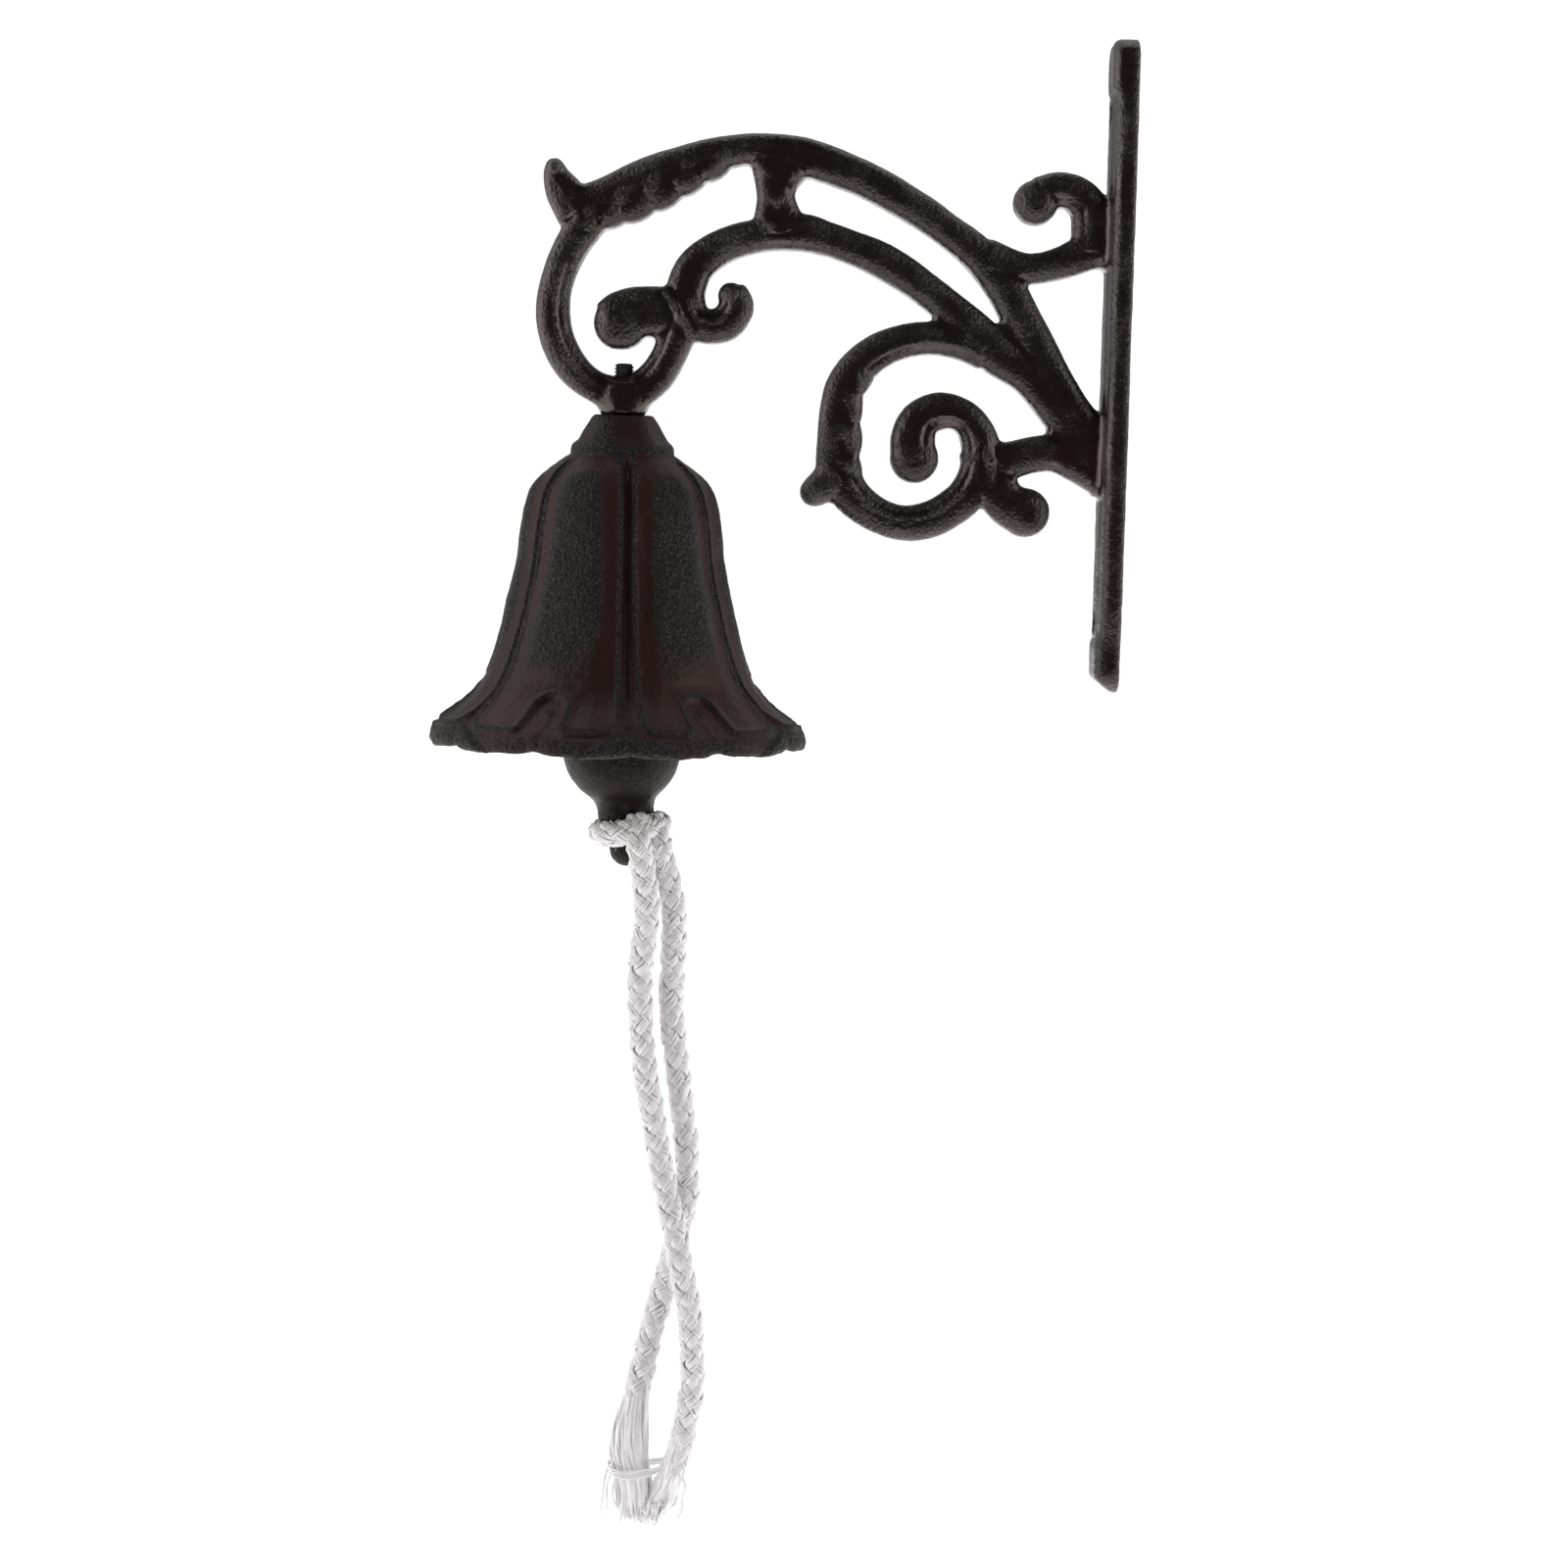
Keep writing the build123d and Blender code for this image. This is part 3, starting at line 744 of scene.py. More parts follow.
LOWER_ARM = [
    (-36, -23, 9), (-30, -23.5, 9), (-24, -22, 8.6), (-18, -21.3, 9), (-12, -22.5, 11),
    (-3, -24.5, 16),
]
LOWER_SCROLL = [
    (-37, -21, 9), (-35, -26.5, 10), (-31.8, -31.6, 10.4), (-28, -35.2, 10.6),
    (-24.5, -36.6, 10.4),
]
KNOBS = [
    (-145.2, 46.8, 2.1), (-100.4, 16.3, 2.9), (-128, 8.8, 6.5), (-24.5, 41.1, 5.3),
    (-136.9, 35.4, 4.5), (-53.1, -23.5, 5.8), (-78.2, -32.4, 3.4), (-24.7, -36.4, 5.9),
]
NET = 0.56
FACE_HALF_DEPTH = 4.8
WEB_HALF_DEPTH = 4.0
WEB_END = 66.0
FILLET = 1.15


def finer(points, step=0.9):
    """The same bar with points about a step apart, on a smooth curve through the given ones."""
    points = np.array(points, float)
    padded = np.vstack([2 * points[0] - points[1], points, 2 * points[-1] - points[-2]])
    found = []
    for a, b, c, d in zip(padded, padded[1:], padded[2:], padded[3:]):
        pieces = max(1, int(hypot(c[0] - b[0], c[1] - b[1]) / step))
        for t in np.arange(pieces) / pieces:
            found.append(curve_point(a, b, c, d, t))
    found.append(points[-1])
    return np.array(found)


def bar_map(bar, grid_y, grid_z, serrate=None):
    """Over a flat grid, for one bar: distance past its edge, signed offset from its middle, half
    width, and run along it."""
    line = finer(bar)
    runs = np.linalg.norm(np.diff(line[:, :2], axis=0), axis=1)
    starts = np.concatenate([[0], np.cumsum(runs)])
    best = np.full(grid_y.shape, 99.0)
    offset = np.zeros(grid_y.shape)
    half = np.full(grid_y.shape, 4.0)
    along = np.zeros(grid_y.shape)
    last = len(runs) - 1
    for i, (a, b) in enumerate(zip(line, line[1:])):
        heading = (b[:2] - a[:2]) / runs[i]
        dy = grid_y - a[0]
        dz = grid_z - a[1]
        run = dy * heading[0] + dz * heading[1]
        aside = dz * heading[0] - dy * heading[1]
        t = np.clip(run / runs[i], 0, 1)
        width = (a[2] + (b[2] - a[2]) * t) / 2
        if serrate:
            width = width + serrate(starts[i] + t * runs[i], aside)
        past = run - t * runs[i]
        distance = np.hypot(aside, past) - width
        ended = ((i == 0) & (past < 0)) | ((i == last) & (past > 0))
        distance = np.where(ended, np.maximum(np.abs(aside) - width, np.abs(past)), distance)
        nearer = distance < best
        best = np.where(nearer, distance, best)
        away = np.hypot(aside, np.where(ended, 0, past))
        offset = np.where(nearer, np.sign(aside) * away, offset)
        half = np.where(nearer, width, half)
        along = np.where(nearer, starts[i] + t * runs[i], along)
    ends = ((line[0], line[1], along), (line[-1], line[-2], starts[-1] - along))
    for end, inward, near in ends:
        heading = (end[:2] - inward[:2]) / hypot(*(end[:2] - inward[:2]))
        over = (grid_y - end[0]) * heading[0] + (grid_z - end[1]) * heading[1]
        best = np.where((near < end[2] / 2 + 1.5) & (over > 0), np.maximum(best, over), best)
    return best, offset, half, along


def leaf_edge(along, aside):
    """Small lobes along the leaf's underside."""
    lobes = 2.7 * np.abs(np.sin(pi * (along - 1.5) / 7.2)) ** 0.7 - 1.6
    fade = smoothstep((along - 3) / 5) * smoothstep((44 - along) / 8)
    return np.where(aside < 0, lobes * fade, 0)


def leafy_run(along):
    """Where along the lower scroll its left limb is leafy."""
    return smoothstep((along - 32) / 4) * smoothstep((66 - along) / 6)


def limb_edge(along, aside):
    """Softer lobes on the inner side of the lower scroll's left limb."""
    lobes = 1.0 * np.abs(np.sin(pi * (along - 32.5) / 8.4)) - 0.55
    return np.where(aside > 0, lobes * leafy_run(along), 0)


def face_step(offset, half, share):
    """Fine ridge along a bar with the face dropping away on its inner side."""
    past = offset - share * half
    return 0.28 * bump(past, 0.5) - 0.5 * smoothstep(past / 0.9)


def folds(along, offset, period):
    """Slanting folds of a cast leaf."""
    return 0.6 * (0.5 * np.cos(2 * pi * (along - 0.9 * offset) / period) - 0.25)


def window(ys, zs, low, high, margin):
    """Slices of the grid's rows and columns near a box in Y and Z."""
    return tuple(
        slice(*np.searchsorted(at, [a - margin, b + margin]))
        for at, a, b in zip((ys, zs), low, high)
    )


def bracket_field(xs, ys, zs):
    """Distance field of the scrolls, arches, arm and ring."""
    grid_y, grid_z = np.meshgrid(ys, zs, indexing="ij")
    deep = np.abs(xs)[:, None, None]
    field = np.full((len(xs), len(ys), len(zs)), 9.0)
    flat = np.full(grid_y.shape, 99.0)
    edges = {id(LEAF): leaf_edge, id(C_SCROLL): limb_edge}
    for bar in (
        ARCH, LOWER_ARCH, RING, TIP_CURL, LEAF, BRIDGE, HOOK, BUD, UPPER_ARM, UPPER_SCROLL,
        UPPER_ROOT, C_SCROLL, C_TIP, LOWER_ARM, LOWER_SCROLL,
    ):
        corners = np.array(bar)
        near = window(ys, zs, corners.min(0), corners.max(0), corners[:, 2].max() / 2 + 4)
        edge, offset, half, along = bar_map(bar, grid_y[near], grid_z[near], edges.get(id(bar)))
        flat[near] = np.minimum(flat[near], edge)
        height = FACE_HALF_DEPTH - 0.45 * (offset / half) ** 2
        if bar is RING:
            height += face_step(offset, half, 0.22) * smoothstep((along - 9) / 6)
        elif bar is C_SCROLL:
            leafy = leafy_run(along)
            height += face_step(offset, half, 0.3) * (1 - leafy)
            height += leafy * smoothstep(offset / 2 + 0.6) * folds(along, offset, 8.4)
        elif bar is HOOK:
            height += face_step(offset, half, 0.25)
        elif bar is UPPER_SCROLL:
            height += 0.5 * face_step(offset, half, 0.25)
        elif bar is LEAF:
            height += 0.3 + folds(along, offset, 9.2)
        elif bar is TIP_CURL:
            height += 0.3 * bump(offset - 0.4, 0.6) - 0.5 * smoothstep(along / 14)
        corner = np.minimum(2.9, 0.78 * half)
        section = rounded_box(edge[None], deep - height[None], corner[None])
        field[:, *near] = smooth_min(field[:, *near], section, 1.0)
    for y, z, radius in KNOBS:
        near = window(ys, zs, (y, z), (y, z), radius + 4)
        away = np.hypot(grid_y[near] - y, grid_z[near] - z)
        flat[near] = np.minimum(flat[near], away - radius)
        dome = 5.1 - 0.9 * (away / radius) ** 2
        section = rounded_box((away - radius)[None], deep - dome[None], min(3.0, 0.75 * radius))
        field[:, *near] = smooth_min(field[:, *near], section, 0.9)
    # Thinner web with every inside corner of the outline filled to a small radius.
    wall = np.maximum(PLATE_FRONT - grid_y, np.abs(grid_z) - WEB_END)
    web = closed_corners(np.minimum(flat, wall), ys, zs)
    section = rounded_box(web[None], deep - WEB_HALF_DEPTH, 1.5)
    return smooth_min(field, section, 1.2) - face_relief(grid_y, grid_z)[None]


def closed_corners(flat, ys, zs):
    """Flat distance with inside corners rounded: grown by the fillet, then shrunk by it."""
    grown = flat - FILLET
    line = []
    for axis in (0, 1):
        a = grown.take(range(grown.shape[axis] - 1), axis)
        b = grown.take(range(1, grown.shape[axis]), axis)
        i, j = np.nonzero((a < 0) != (b < 0))
        crossing = np.stack([ys[i], zs[j]], 1)
        crossing[:, axis] += a[i, j] / (a[i, j] - b[i, j]) * NET
        line.append(crossing)
    line = np.concatenate(line)
    tree = KDTree(len(line))
    for i, (y, z) in enumerate(line.tolist()):
        tree.insert((y, z, 0), i)
    tree.balance()
    closed = flat.copy()
    for i, j in np.argwhere((grown < 0) & (flat > -2.5)).tolist():
        closed[i, j] = FILLET - tree.find((ys[i], zs[j], 0))[2]
    return closed


# Small cast details on the face: bumps as (Y, Z, radius, height), collars as two ends
# and a height.
BUMPS = [
    (-84.2, 46.4, 1.7, 0.7), (-89.4, 39.4, 1.5, 0.65), (-91.0, 33.6, 1.3, 0.5),
    (-86.5, 43.0, 1.2, -0.35), (-92.4, 46.5, 1.4, 0.45), (-66.0, -3.5, 1.6, 0.5),
    (-68.4, -13.5, 1.5, 0.5), (-68.8, -25.5, 1.6, 0.5), (-113.0, 10.2, 1.2, 0.35),
    (-33.0, -24.0, 1.4, 0.5), (-37.2, -19.0, 1.2, 0.35),
]
COLLARS = [
    ((-116.6, 17.0), (-110.4, 6.4), 0.26), ((-143.0, 33.4), (-133.4, 32.2), 0.15),
    ((-35.0, -19.0), (-33.6, -29.0), 0.22),
]


def face_relief(grid_y, grid_z):
    """Height added to the faces by collars, rosette bumps and creases."""
    relief = np.zeros(grid_y.shape)
    for y, z, radius, height in BUMPS:
        relief += height * bump(np.hypot(grid_y - y, grid_z - z), radius)
    for (y0, z0), (y1, z1), height in COLLARS:
        length = hypot(y1 - y0, z1 - z0)
        ahead_y, ahead_z = (y1 - y0) / length, (z1 - z0) / length
        run = (grid_y - y0) * ahead_y + (grid_z - z0) * ahead_z
        aside = (grid_z - z0) * ahead_y - (grid_y - y0) * ahead_z
        collar = bump(aside, 0.85) - 0.75 * bump(np.abs(aside) - 1.9, 0.7)
        relief += height * bump(np.maximum(np.maximum(-run, run - length), 0), 1.2) * collar
    return relief


def plate_field(x, y, z):
    """Wall plate: a flat bar with rounded ends and two screw holes."""
    up = np.abs(z)
    side = np.abs(x)
    half_width = PLATE_HALF_WIDTH - 1.1 * smoothstep((up - 58) / 14)
    outline = rounded_box(side - half_width, up - PLATE_END, 5.2)
    face = PLATE_FRONT - 1.0 * smoothstep((up - 66) / 4)
    front = rounded_box(outline, face - y, 2.2)
    # The foot is chamfered towards the wall.
    foot = 0.77 * (-z - PLATE_END) + 0.63 * (-y - 1.8)
    front = -smooth_min(-front, -foot, 0.8)
    slab = np.maximum(front, rounded_box(outline, y, 0.4))
    funnel = screw_holes(x, z) - 0.9 * smoothstep((-4.4 - y) / 1.3)
    return np.maximum(slab, -funnel)


def screw_holes(x, z):
    return np.hypot(x, np.abs(z) - SCREW_Z) - 3.0


def make_bracket():
    margin = 3 * NET
    xs = np.arange(-PLATE_HALF_WIDTH - margin, PLATE_HALF_WIDTH + margin + NET, NET)
    ys = np.arange(-154.0, margin + NET, NET)
    zs = np.arange(-PLATE_END - margin, PLATE_END + margin + NET, NET)
    field = bracket_field(xs, ys, zs)
    x = xs[:, None, None]
    y = ys[None, :, None]
    z = zs[None, None, :]
    # Neck and boss over the bell.
    from_bolt = np.hypot(x, y - BELL_Y)
    boss = rounded_box(from_bolt - 5.75, np.abs(z + 10.3) - 3.95, 0.7)
    field = np.maximum(smooth_min(field, boss, 2.6), y + 1.0)
    wall_side = slice(np.searchsorted(ys, -14.0), None)
    plate = plate_field(x, y[:, wall_side], z)
    field[:, wall_side] = smooth_min(field[:, wall_side], plate, 3.4)
    field = np.maximum(field, np.where(y > -20, -screw_holes(x, z), -9))
    field = np.maximum(field, np.where(z < 3, BOLT_BORE - from_bolt, -9))
    field = np.maximum(field, y)
    points, quads = surface_net(field, np.array([xs[0], ys[0], zs[0]]), NET)
    obj = cast_piece("bracket_casting", points, quads, bracket_iron, 1)
    # The neck over the bell keeps its smooth, dark coat.
    mark = obj.data.attributes["proud"].data
    values = np.empty(len(points))
    mark.foreach_get("value", values)
    values *= 1 - 0.75 * bump(np.hypot(points[:, 1] - BELL_Y, points[:, 2] + 8.5), 8.0)
    mark.foreach_set("value", values)
    return obj


bracket = make_bracket()


# ---------------------------------------------------------------- bell
# Profile as (radius, Z) points.
BELL_CROWN = [
    (2.62, -14.3), (4.6, -14.3), (6.7, -14.3), (7.35, -14.45), (7.75, -14.95), (8.4, -16.1),
    (9.1, -17.3), (9.8, -18.5), (10.45, -19.6), (11.05, -20.5), (11.7, -21.1), (12.4, -21.6),
    (12.85, -22.2), (13.05, -22.9), (13.1, -23.6),
]
BELL_OUTSIDE = [
    (13.2, -24.2), (16, -26), (19.6, -29.3), (22.2, -33.6), (23.6, -38.5), (24.4, -43.5),
    (24.9, -48.5), (25.6, -53), (27, -59), (28.7, -66), (30.7, -72.5), (32.6, -77.5),
    (35.1, -82), (38.8, -86.1), (43.4, -89.7), (47.3, -92.4), (48.4, -95.2),
]
BELL_LIP = [(48.5, -95.9), (48.35, -96.6), (47.9, -97.15), (47.25, -97.25)]
BELL_INSIDE = [
    (46.6, -97.0), (43.6, -94.2), (39.2, -90.6), (35, -86.6), (31.6, -81.2), (28.9, -75),
    (26.6, -69), (24.6, -62), (22.6, -55), (21.3, -48), (20.4, -41), (18.4, -34.5),
    (15.2, -28.5), (10.5, -22.4), (7, -22),
]
# Angles of the channels between petals and of the clefts at the petals' feet, in degrees.
CHANNELS = [7, 66, 126, 186, 247, 306]
CLEFTS = [34.5, 95.5, 156.5, 217, 276, 337.5]
BELL_COLUMNS = 480


def smooth_profile(points, step):
    """Evenly spaced points on a smooth curve through profile points."""
    bar = finer([(r, z, 1) for r, z in points], 0.25)
    along = np.concatenate([[0], np.cumsum(np.hypot(*np.diff(bar[:, :2], axis=0).T))])
    at = np.linspace(0, along[-1], int(round(along[-1] / step)) + 1)
    return np.stack([np.interp(at, along, bar[:, 0]), np.interp(at, along, bar[:, 1])], axis=1)


def angle_to(theta, lines):
    """Angle from each direction to the nearest of the lines."""
    away = theta[:, None] - np.radians(lines)[None]
    return np.abs((away + pi) % (2 * pi) - pi).min(1)


def petal_relief(theta, z, r, q, below):
    """Height of the petals' relief over the bell's plain outside, and how proud it stands.

    q is the distance down the profile past the clefts' tops; below marks rows on the outside."""
    turn = np.abs(np.degrees(theta))[None]
    z, size, q = z[:, None], r[:, None], q[:, None]
    channel = angle_to(theta, CHANNELS)[None] * size
    cleft = angle_to(theta, CLEFTS)[None] * size
    # Distance inside the petal's border: from the channel, the cleft's arch and the rounded feet.
    # The channels at the bell's sides are squeezed narrower and flatter.
    squeeze = 1 - 0.5 * smoothstep((np.abs(turn - 7) - 25) / 15) * smoothstep((335 - turn) / 15)
    from_channel = channel - (1.0 + 0.072 * np.maximum(size - 25, 0)) * squeeze
    from_channel = np.maximum(from_channel, 0.9 * (1 - squeeze) - 0.5)
    reach = 0.112 * size
    from_cleft = np.where(q > -reach, np.hypot(cleft, np.minimum(q - reach, 0)) - reach, 9)
    from_foot = 13.6 - q
    border = -np.maximum(
        rounded_box(-from_channel, -from_foot, 7.0), rounded_box(-from_cleft, -from_foot, 3.0)
    )
    panel = 0.85 * smoothstep(border / 0.8 + 0.5)
    ridge = 0.36 * bump(border - 0.7, 0.5)
    swell = 0.25 + 1.1 * (1 - smoothstep((-60 - z) / 26))
    puffed = swell * smoothstep((border - 2.6) / 5.5) * smoothstep((-25.5 - z) / 9)
    # Hollow feet, so that their rims read as thin beads.
    dish = -0.35 * smoothstep((border - 1.3) / 2.2) * smoothstep((q + 6) / 14)
    hollow = -0.7 * (2 * squeeze - 1) * bump(channel, 1.0) * smoothstep((11 - q) / 3)
    hollow = hollow - 0.55 * bump(cleft / reach, 0.8) * bump(q - 5.5, 5.0)
    # Pointed sepals under the channels, stems with buds in the clefts.
    leafy = smoothstep((q - 12.2 - 0.55 * channel) / 1.1 + 0.4)
    vein = -0.3 * bump(channel, 0.4) * smoothstep((q - 11) / 2)
    stem = 0.5 * bump(cleft - 0.4, 0.8) * smoothstep((q - 4.5) / 2.5)
    bud = 0.95 * bump(np.hypot(cleft, q - 4.9), 1.5)
    seat = -1.0 + 0.85 * smoothstep((q - 13.0) / 3.5)
    height = panel + ridge + puffed + dish + hollow + 0.95 * leafy + vein + seat
    height = (height + np.maximum(stem, bud)) * smoothstep((-24.4 - z) / 2.6) * below[:, None]
    # Bare grain stands on the puffed middles, the ridges, the buds and the mouth.
    proud = 0.12 + 0.75 * smoothstep(puffed / 1.1) * smoothstep((9 - q) / 12)
    proud = proud + 0.8 * bump(border - 0.7, 0.7) + 0.45 * smoothstep((q - 13.5) / 2)
    proud = proud + 0.75 * leafy + 0.7 * bump(np.hypot(cleft, q - 4.8), 1.6)
    return height, np.clip(proud, 0, 1)


def make_bell():
    """Bell turned from its profile: crown, petals, lip, plain inside and the bolt's bore."""
    outside = smooth_profile(BELL_OUTSIDE, 0.74)
    inside = smooth_profile(BELL_INSIDE, 2.1)
    bore = [(BOLT_BORE, -22.0), (BOLT_BORE, -18.2)]
    profile = np.concatenate([BELL_CROWN, outside, BELL_LIP, inside, bore])
    run = np.roll(profile, -1, axis=0) - np.roll(profile, 1, axis=0)
    run /= np.linalg.norm(run, axis=1, keepdims=True)
    r, z = profile.T
    first = len(BELL_CROWN)
    last = first + len(outside) + len(BELL_LIP)
    below = np.zeros(len(profile))
    below[first:last] = 1
    below[last - 3 : last] = (0.8, 0.5, 0.2)
    theta = turns_of(BELL_COLUMNS)
    cleft_top = first + int(np.argmin(np.abs(outside[:, 1] + 82.9)))
    q = np.concatenate([[0], np.cumsum(np.hypot(*np.diff(profile, axis=0).T))])
    q = q - q[cleft_top]
    height, proud = petal_relief(theta, z, r, q, below)
    # Six soft facets on the crown, and a scalloped mouth.
    upper = z[:first, None]
    facets = 0.32 * np.cos(6 * (theta - radians(35)))[None] * bump(upper + 18.4, 3.2)
    height[:first] += facets
    # The band at z -23.2 is partly bare-grain finish on the crown's lower edge and partly a
    # painted highlight line, as painted glint specks gather there.
    proud[:first] = np.clip(0.5 + 0.5 * facets + 0.5 * bump(upper + 23.2, 0.9), 0, 1)
    proud[last:] = 0.4
    cleft, channel = angle_to(theta, CLEFTS), angle_to(theta, CHANNELS)
    notch = 0.8 * bump(cleft, 0.05) + 0.35 * bump(cleft, 0.17)
    notch = (notch + 0.45 * bump(channel, 0.045) + 0.55 * bump(channel, 0.19))[None]
    near_mouth = smoothstep((r - 41) / 4)
    near_mouth[:last] *= smoothstep((q[:last] - 13.0) / 4.0)
    near_mouth = near_mouth[:, None]
    radius = r[:, None] - height * run[:, 1:] - 0.9 * near_mouth * notch
    level = z[:, None] + height * run[:, :1] + near_mouth * (0.95 * notch - 0.25)
    points = np.stack([radius * np.cos(theta), BELL_Y + radius * np.sin(theta), level], axis=-1)
    quads = ring_quads(len(profile), BELL_COLUMNS, looped=True)[:, ::-1]
    return cast_piece(
        "bell_casting", points.reshape(-1, 3), quads, bell_iron, 2,
        relax=0, rough=2.1, proud=proud.ravel(),
    )


bell = make_bell()


# ---------------------------------------------------------------- clapper, link, bolt
def make_clapper():
    """Ball on a looped rod, with a neck, a rope seat and a blunt end knob."""
    step = 0.55
    xs = np.arange(-16.6, 16.7, step)
    ys = np.arange(-143.0, -108.5, step)
    zs = np.arange(-131.0, -51.5, step)
    x = xs[:, None, None]
    y = ys[None, :, None]
    z = zs[None, None, :]
    lean = radians(1.4)
    tail = radians(4.6)
    ball_z = -98.7
    ball_y = BELL_Y + (PIVOT_Z - ball_z) / cos(lean) * sin(lean)

    def leaning(y0, z0, tilt):
        """Distances down and out from a line that hangs from a point at a tilt."""
        down = (y - y0) * sin(tilt) - (z - z0) * cos(tilt)
        return down, np.hypot(x, (y - y0) * cos(tilt) + (z - z0) * sin(tilt))

    down, across = leaning(BELL_Y, PIVOT_Z, lean)
    below, beside = leaning(ball_y, ball_z, tail)
    ring = np.hypot(y - BELL_Y, z - (PIVOT_Z - 0.8)) - 4.5
    field = np.sqrt(x**2 + (y - ball_y) ** 2 + (z - ball_z) ** 2) - 15.2
    for part, fillet in (
        (rounded_box(across - 3.2, np.abs(down - 20) - 15.4, 0.6), 3.0),  # rod
        (np.hypot(ring, x) - 1.6, 1.2),  # loop
        (rounded_box(beside - 7.5 + 0.015 * below, np.abs(below - 9.2) - 9.3, 0.9), 2.2),  # neck
        (rounded_box(beside - 3.2, np.abs(below - 20) - 4.0, 0.3), 0.8),  # rope's seat
        (np.sqrt(beside**2 + (below - 25.8) ** 2) - 4.8, 0.8),  # end knob
    ):
        field = smooth_min(field, part, fillet)
    points, quads = surface_net(field, np.array([xs[0], ys[0], zs[0]]), step)
    return cast_piece("clapper_casting", points, quads, clapper_iron, 3, rough=1.5)


clapper = make_clapper()


def make_link():
    """Long welded link hanging in the bolt's eye, its weld a small bead on one side."""
    bow, top_z, low_z, sides = 3.7, -42.0, -51.0, 16
    bend = pi * np.arange(25) / 24
    drop = (low_z - top_z) * np.arange(1, 12) / 12
    side = np.full(11, bow)
    across = np.concatenate([bow * np.cos(bend), -side, -bow * np.cos(bend), side])
    rise = bow * np.sin(bend)
    level = np.concatenate([top_z + rise, top_z + drop, low_z - rise, low_z - drop])
    line = np.stack([across, np.full(len(across), BELL_Y), level], axis=1)
    ahead = np.roll(line, -1, axis=0) - np.roll(line, 1, axis=0)
    ahead /= np.linalg.norm(ahead, axis=1, keepdims=True)
    out = np.cross(ahead, [0, 1, 0])[:, None]
    turn = turns_of(sides)[None, :, None]
    radius = 1.4 + 0.22 * bump(np.arange(len(line)) - 30, 1.6)[:, None, None]
    rings = line[:, None] + radius * (np.cos(turn) * out + np.sin(turn) * np.array([0, 1, 0]))
    quads = ring_quads(len(line), sides, looped=True).tolist()
    return piece("clapper_link_wire", rings.reshape(-1, 3), quads, inner_steel)


link_piece = make_link()


def make_stud():
    """Stud with a rolled thread and a chamfered, slightly dished tip, ending in a welded eye."""
    sides = 40
    top = -1.3
    height = np.arange(top, -31.6, -0.1)[:, None]
    angle = turns_of(sides)[None]
    thread = 2 * np.abs((height / 0.8 + angle / (2 * pi)) % 1 - 0.5)
    radius = 2.5 - 0.46 * smoothstep(thread * 1.25 - 0.12)
    radius = np.minimum(radius, 1.75 + 0.75 * np.clip((top - height) / 0.6, 0, 1))
    screw = np.stack([
        radius * np.cos(angle), BELL_Y + radius * np.sin(angle), height + 0 * angle,
    ], axis=-1)
    hub = len(height) * sides
    quads = ring_quads(len(height), sides)[:, ::-1].tolist()
    quads += [[hub, i, (i + 1) % sides] for i in range(sides)]
    quads.append(list(range(hub - sides, hub)))
    around = turns_of(48)[:, None]
    bar = turns_of(16)[None]
    reach = 5.5 + 1.7 * np.cos(bar)
    eye = np.stack([
        1.7 * np.sin(bar) + 0 * around, BELL_Y + reach * np.cos(around),
        -36.5 + reach * np.sin(around),
    ], axis=-1)
    quads += ring_quads(48, 16, hub + 1, looped=True).tolist()
    tip = [(0, BELL_Y, top - 0.15)]
    points = np.concatenate([screw.reshape(-1, 3), tip, eye.reshape(-1, 3)])
    return piece("eye_bolt_thread", points, quads, bolt_steel)


stud = make_stud()

for name in ("crown_washer", "lock_nut"):
    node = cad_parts[name]
    node.data.materials.clear()
    node.data.materials.append(inner_steel)
    soften = node.modifiers.new("soften", "BEVEL")
    soften.width = 0.0003
    soften.segments = 2
    soften.limit_method = "ANGLE"

# ---------------------------------------------------------------- what rides on what
for obj, body, nodes, slot in (
    (bracket, "frame", ("bracket",), "bracket_iron"),
    (bell, "frame", ("bell",), "bell_iron"),
    (stud, "frame", ("eye_bolt",), "bolt_steel"),
    (link_piece, "link", ("clapper_link",), "bolt_steel"),
    (clapper, "clapper", ("clapper",), "clapper_iron"),
    (hitch, "clapper", ("rope_hitch",), "cotton_rope"),
    (left_leg, "clapper", ("rope_leg_left",), "cotton_rope"),
    (right_leg, "clapper", ("rope_leg_right",), "cotton_rope"),
    (left_fray, "clapper", ("frayed_end_left",), "cotton_yarn"),
    (right_fray, "clapper", ("frayed_end_right",), "cotton_yarn"),
    (tie, "clapper", ("tie_thread",), "cotton_yarn"),
):
    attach(obj, body)
    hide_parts(*nodes)


# ---------------------------------------------------------------- floor, light and surroundings
FLOOR_Z = -0.62  # metres, well below the rope's end

def make_stage():
    """White floor that glows a little, like the tent round it."""
    bpy.ops.mesh.primitive_plane_add(size=8, location=(-3.75, 0, FLOOR_Z))
    floor = bpy.context.object
    floor.name = "floor"
    material, base, add, link = shader("floor_white")
    place = add("ShaderNodeTexCoord").outputs["Object"]
    link(ramp(add, texture(add, place, 2.0, 2.0), [(0.0, 0.93), (1.0, 0.95)]), "Base Color")
    base.inputs["Roughness"].default_value = 0.9
    base.inputs["Specular IOR Level"].default_value = 0.0
    base.inputs["Emission Color"].default_value = (1, 1, 1, 1)
    base.inputs["Emission Strength"].default_value = 1.1
    floor.data.materials.append(material)


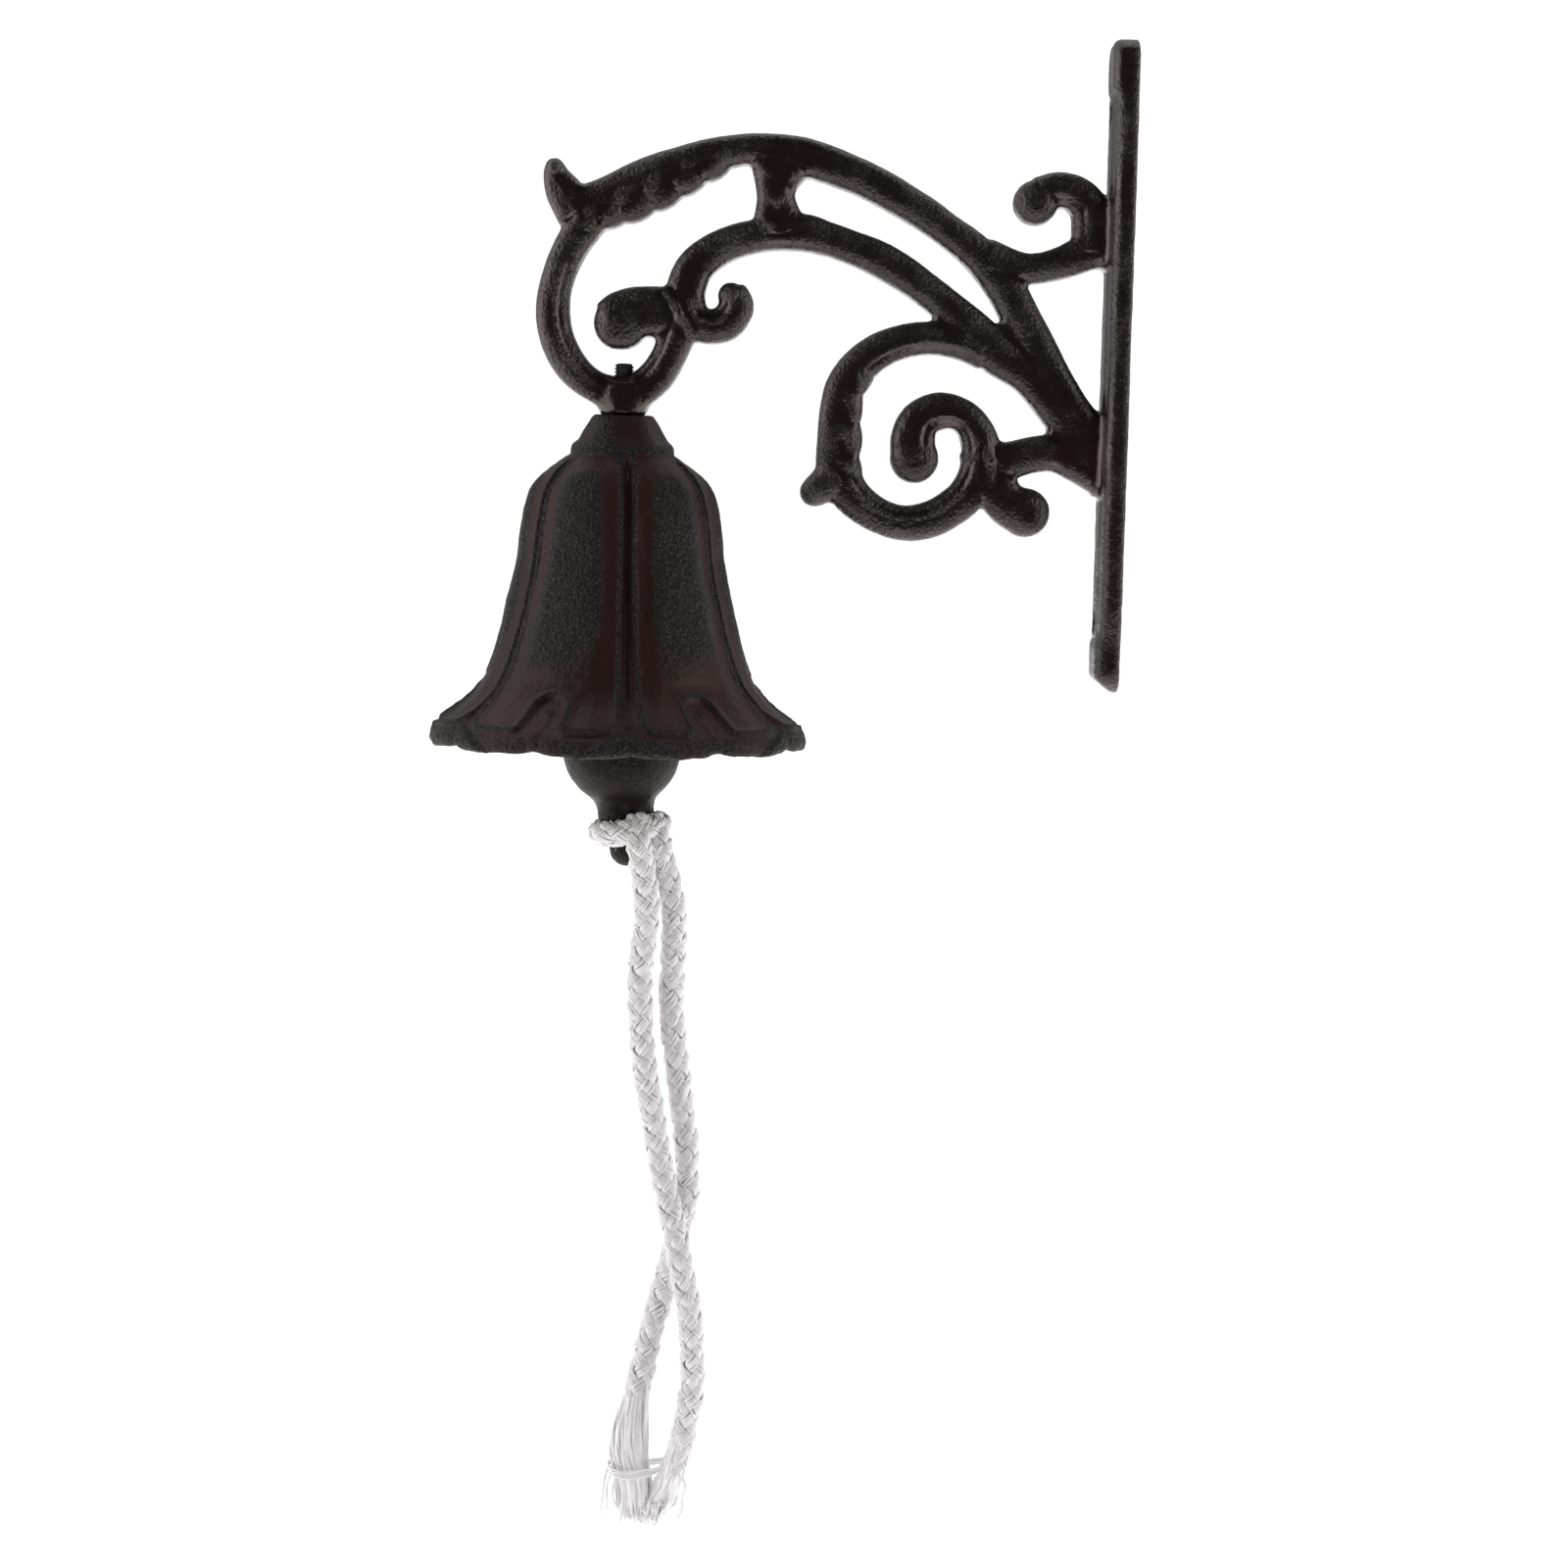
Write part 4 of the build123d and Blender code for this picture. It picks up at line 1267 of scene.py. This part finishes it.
def soft_panel(name, place, target, width, height, power):
    """Area light at a place, turned towards a target."""
    data = bpy.data.lights.new(name, "AREA")
    data.shape = "RECTANGLE"
    data.size = width
    data.size_y = height
    data.energy = power
    panel = bpy.data.objects.new(name, data)
    panel.location = place
    panel.rotation_mode = "QUATERNION"
    panel.rotation_quaternion = (Vector(target) - Vector(place)).to_track_quat("-Z", "Y")
    bpy.context.scene.collection.objects.link(panel)


def make_world():
    """White tent: bright at its sides, dim behind the object and dark where the camera is."""
    world = bpy.data.worlds.new("studio")
    bpy.context.scene.world = world
    world.use_nodes = True
    tree = world.node_tree
    add = adder(tree)
    heading = add("ShaderNodeVectorMath", {
        0: add("ShaderNodeTexCoord").outputs["Generated"],
        1: (cos(radians(14)), 0.0, sin(radians(14))),
    }, operation="DOT_PRODUCT").outputs["Value"]
    turned = add("ShaderNodeMath", {0: heading, 1: 0.5, 2: 0.5}, operation="MULTIPLY_ADD")
    level = add("ShaderNodeFloatCurve", {"Value": turned.outputs[0]})
    # From straight behind the object (0) to behind the camera (1), as shares of the brightest.
    stops = [
        (0.0, 0.14), (0.22, 0.20), (0.40, 0.44), (0.52, 0.64), (0.60, 0.52), (0.72, 0.06),
        (1.0, 0.02),
    ]
    curve = level.mapping.curves[0]
    for point, stop in zip(curve.points, (stops[0], stops[-1])):
        point.location = stop
    for stop in stops[1:-1]:
        curve.points.new(*stop)
    level.mapping.update()
    glow = arith(add, "MULTIPLY", level.outputs[0], 2.7)
    # Seen directly, the tent is plain white all round.
    direct = add("ShaderNodeLightPath").outputs["Is Camera Ray"]
    strength = arith(add, "MAXIMUM", glow, arith(add, "MULTIPLY", direct, 1.08))
    backdrop = tree.nodes["Background"]
    tree.links.new(strength, backdrop.inputs["Strength"])
    backdrop.inputs["Color"].default_value = (1.0, 1.0, 1.0, 1)


make_stage()
make_world()
middle = (0.0, -0.085, -0.08)
soft_panel("panel_left", (0.50, -1.10, 0.10), middle, 1.0, 1.3, 7.6)
soft_panel("panel_right", (0.50, 0.95, 0.10), middle, 0.9, 1.3, 6.4)
soft_panel("panel_low", (0.80, -0.10, -0.66), (0.0, -0.11, -0.18), 0.7, 0.5, 2.2)
bpy.context.scene.view_settings.view_transform = "Standard"
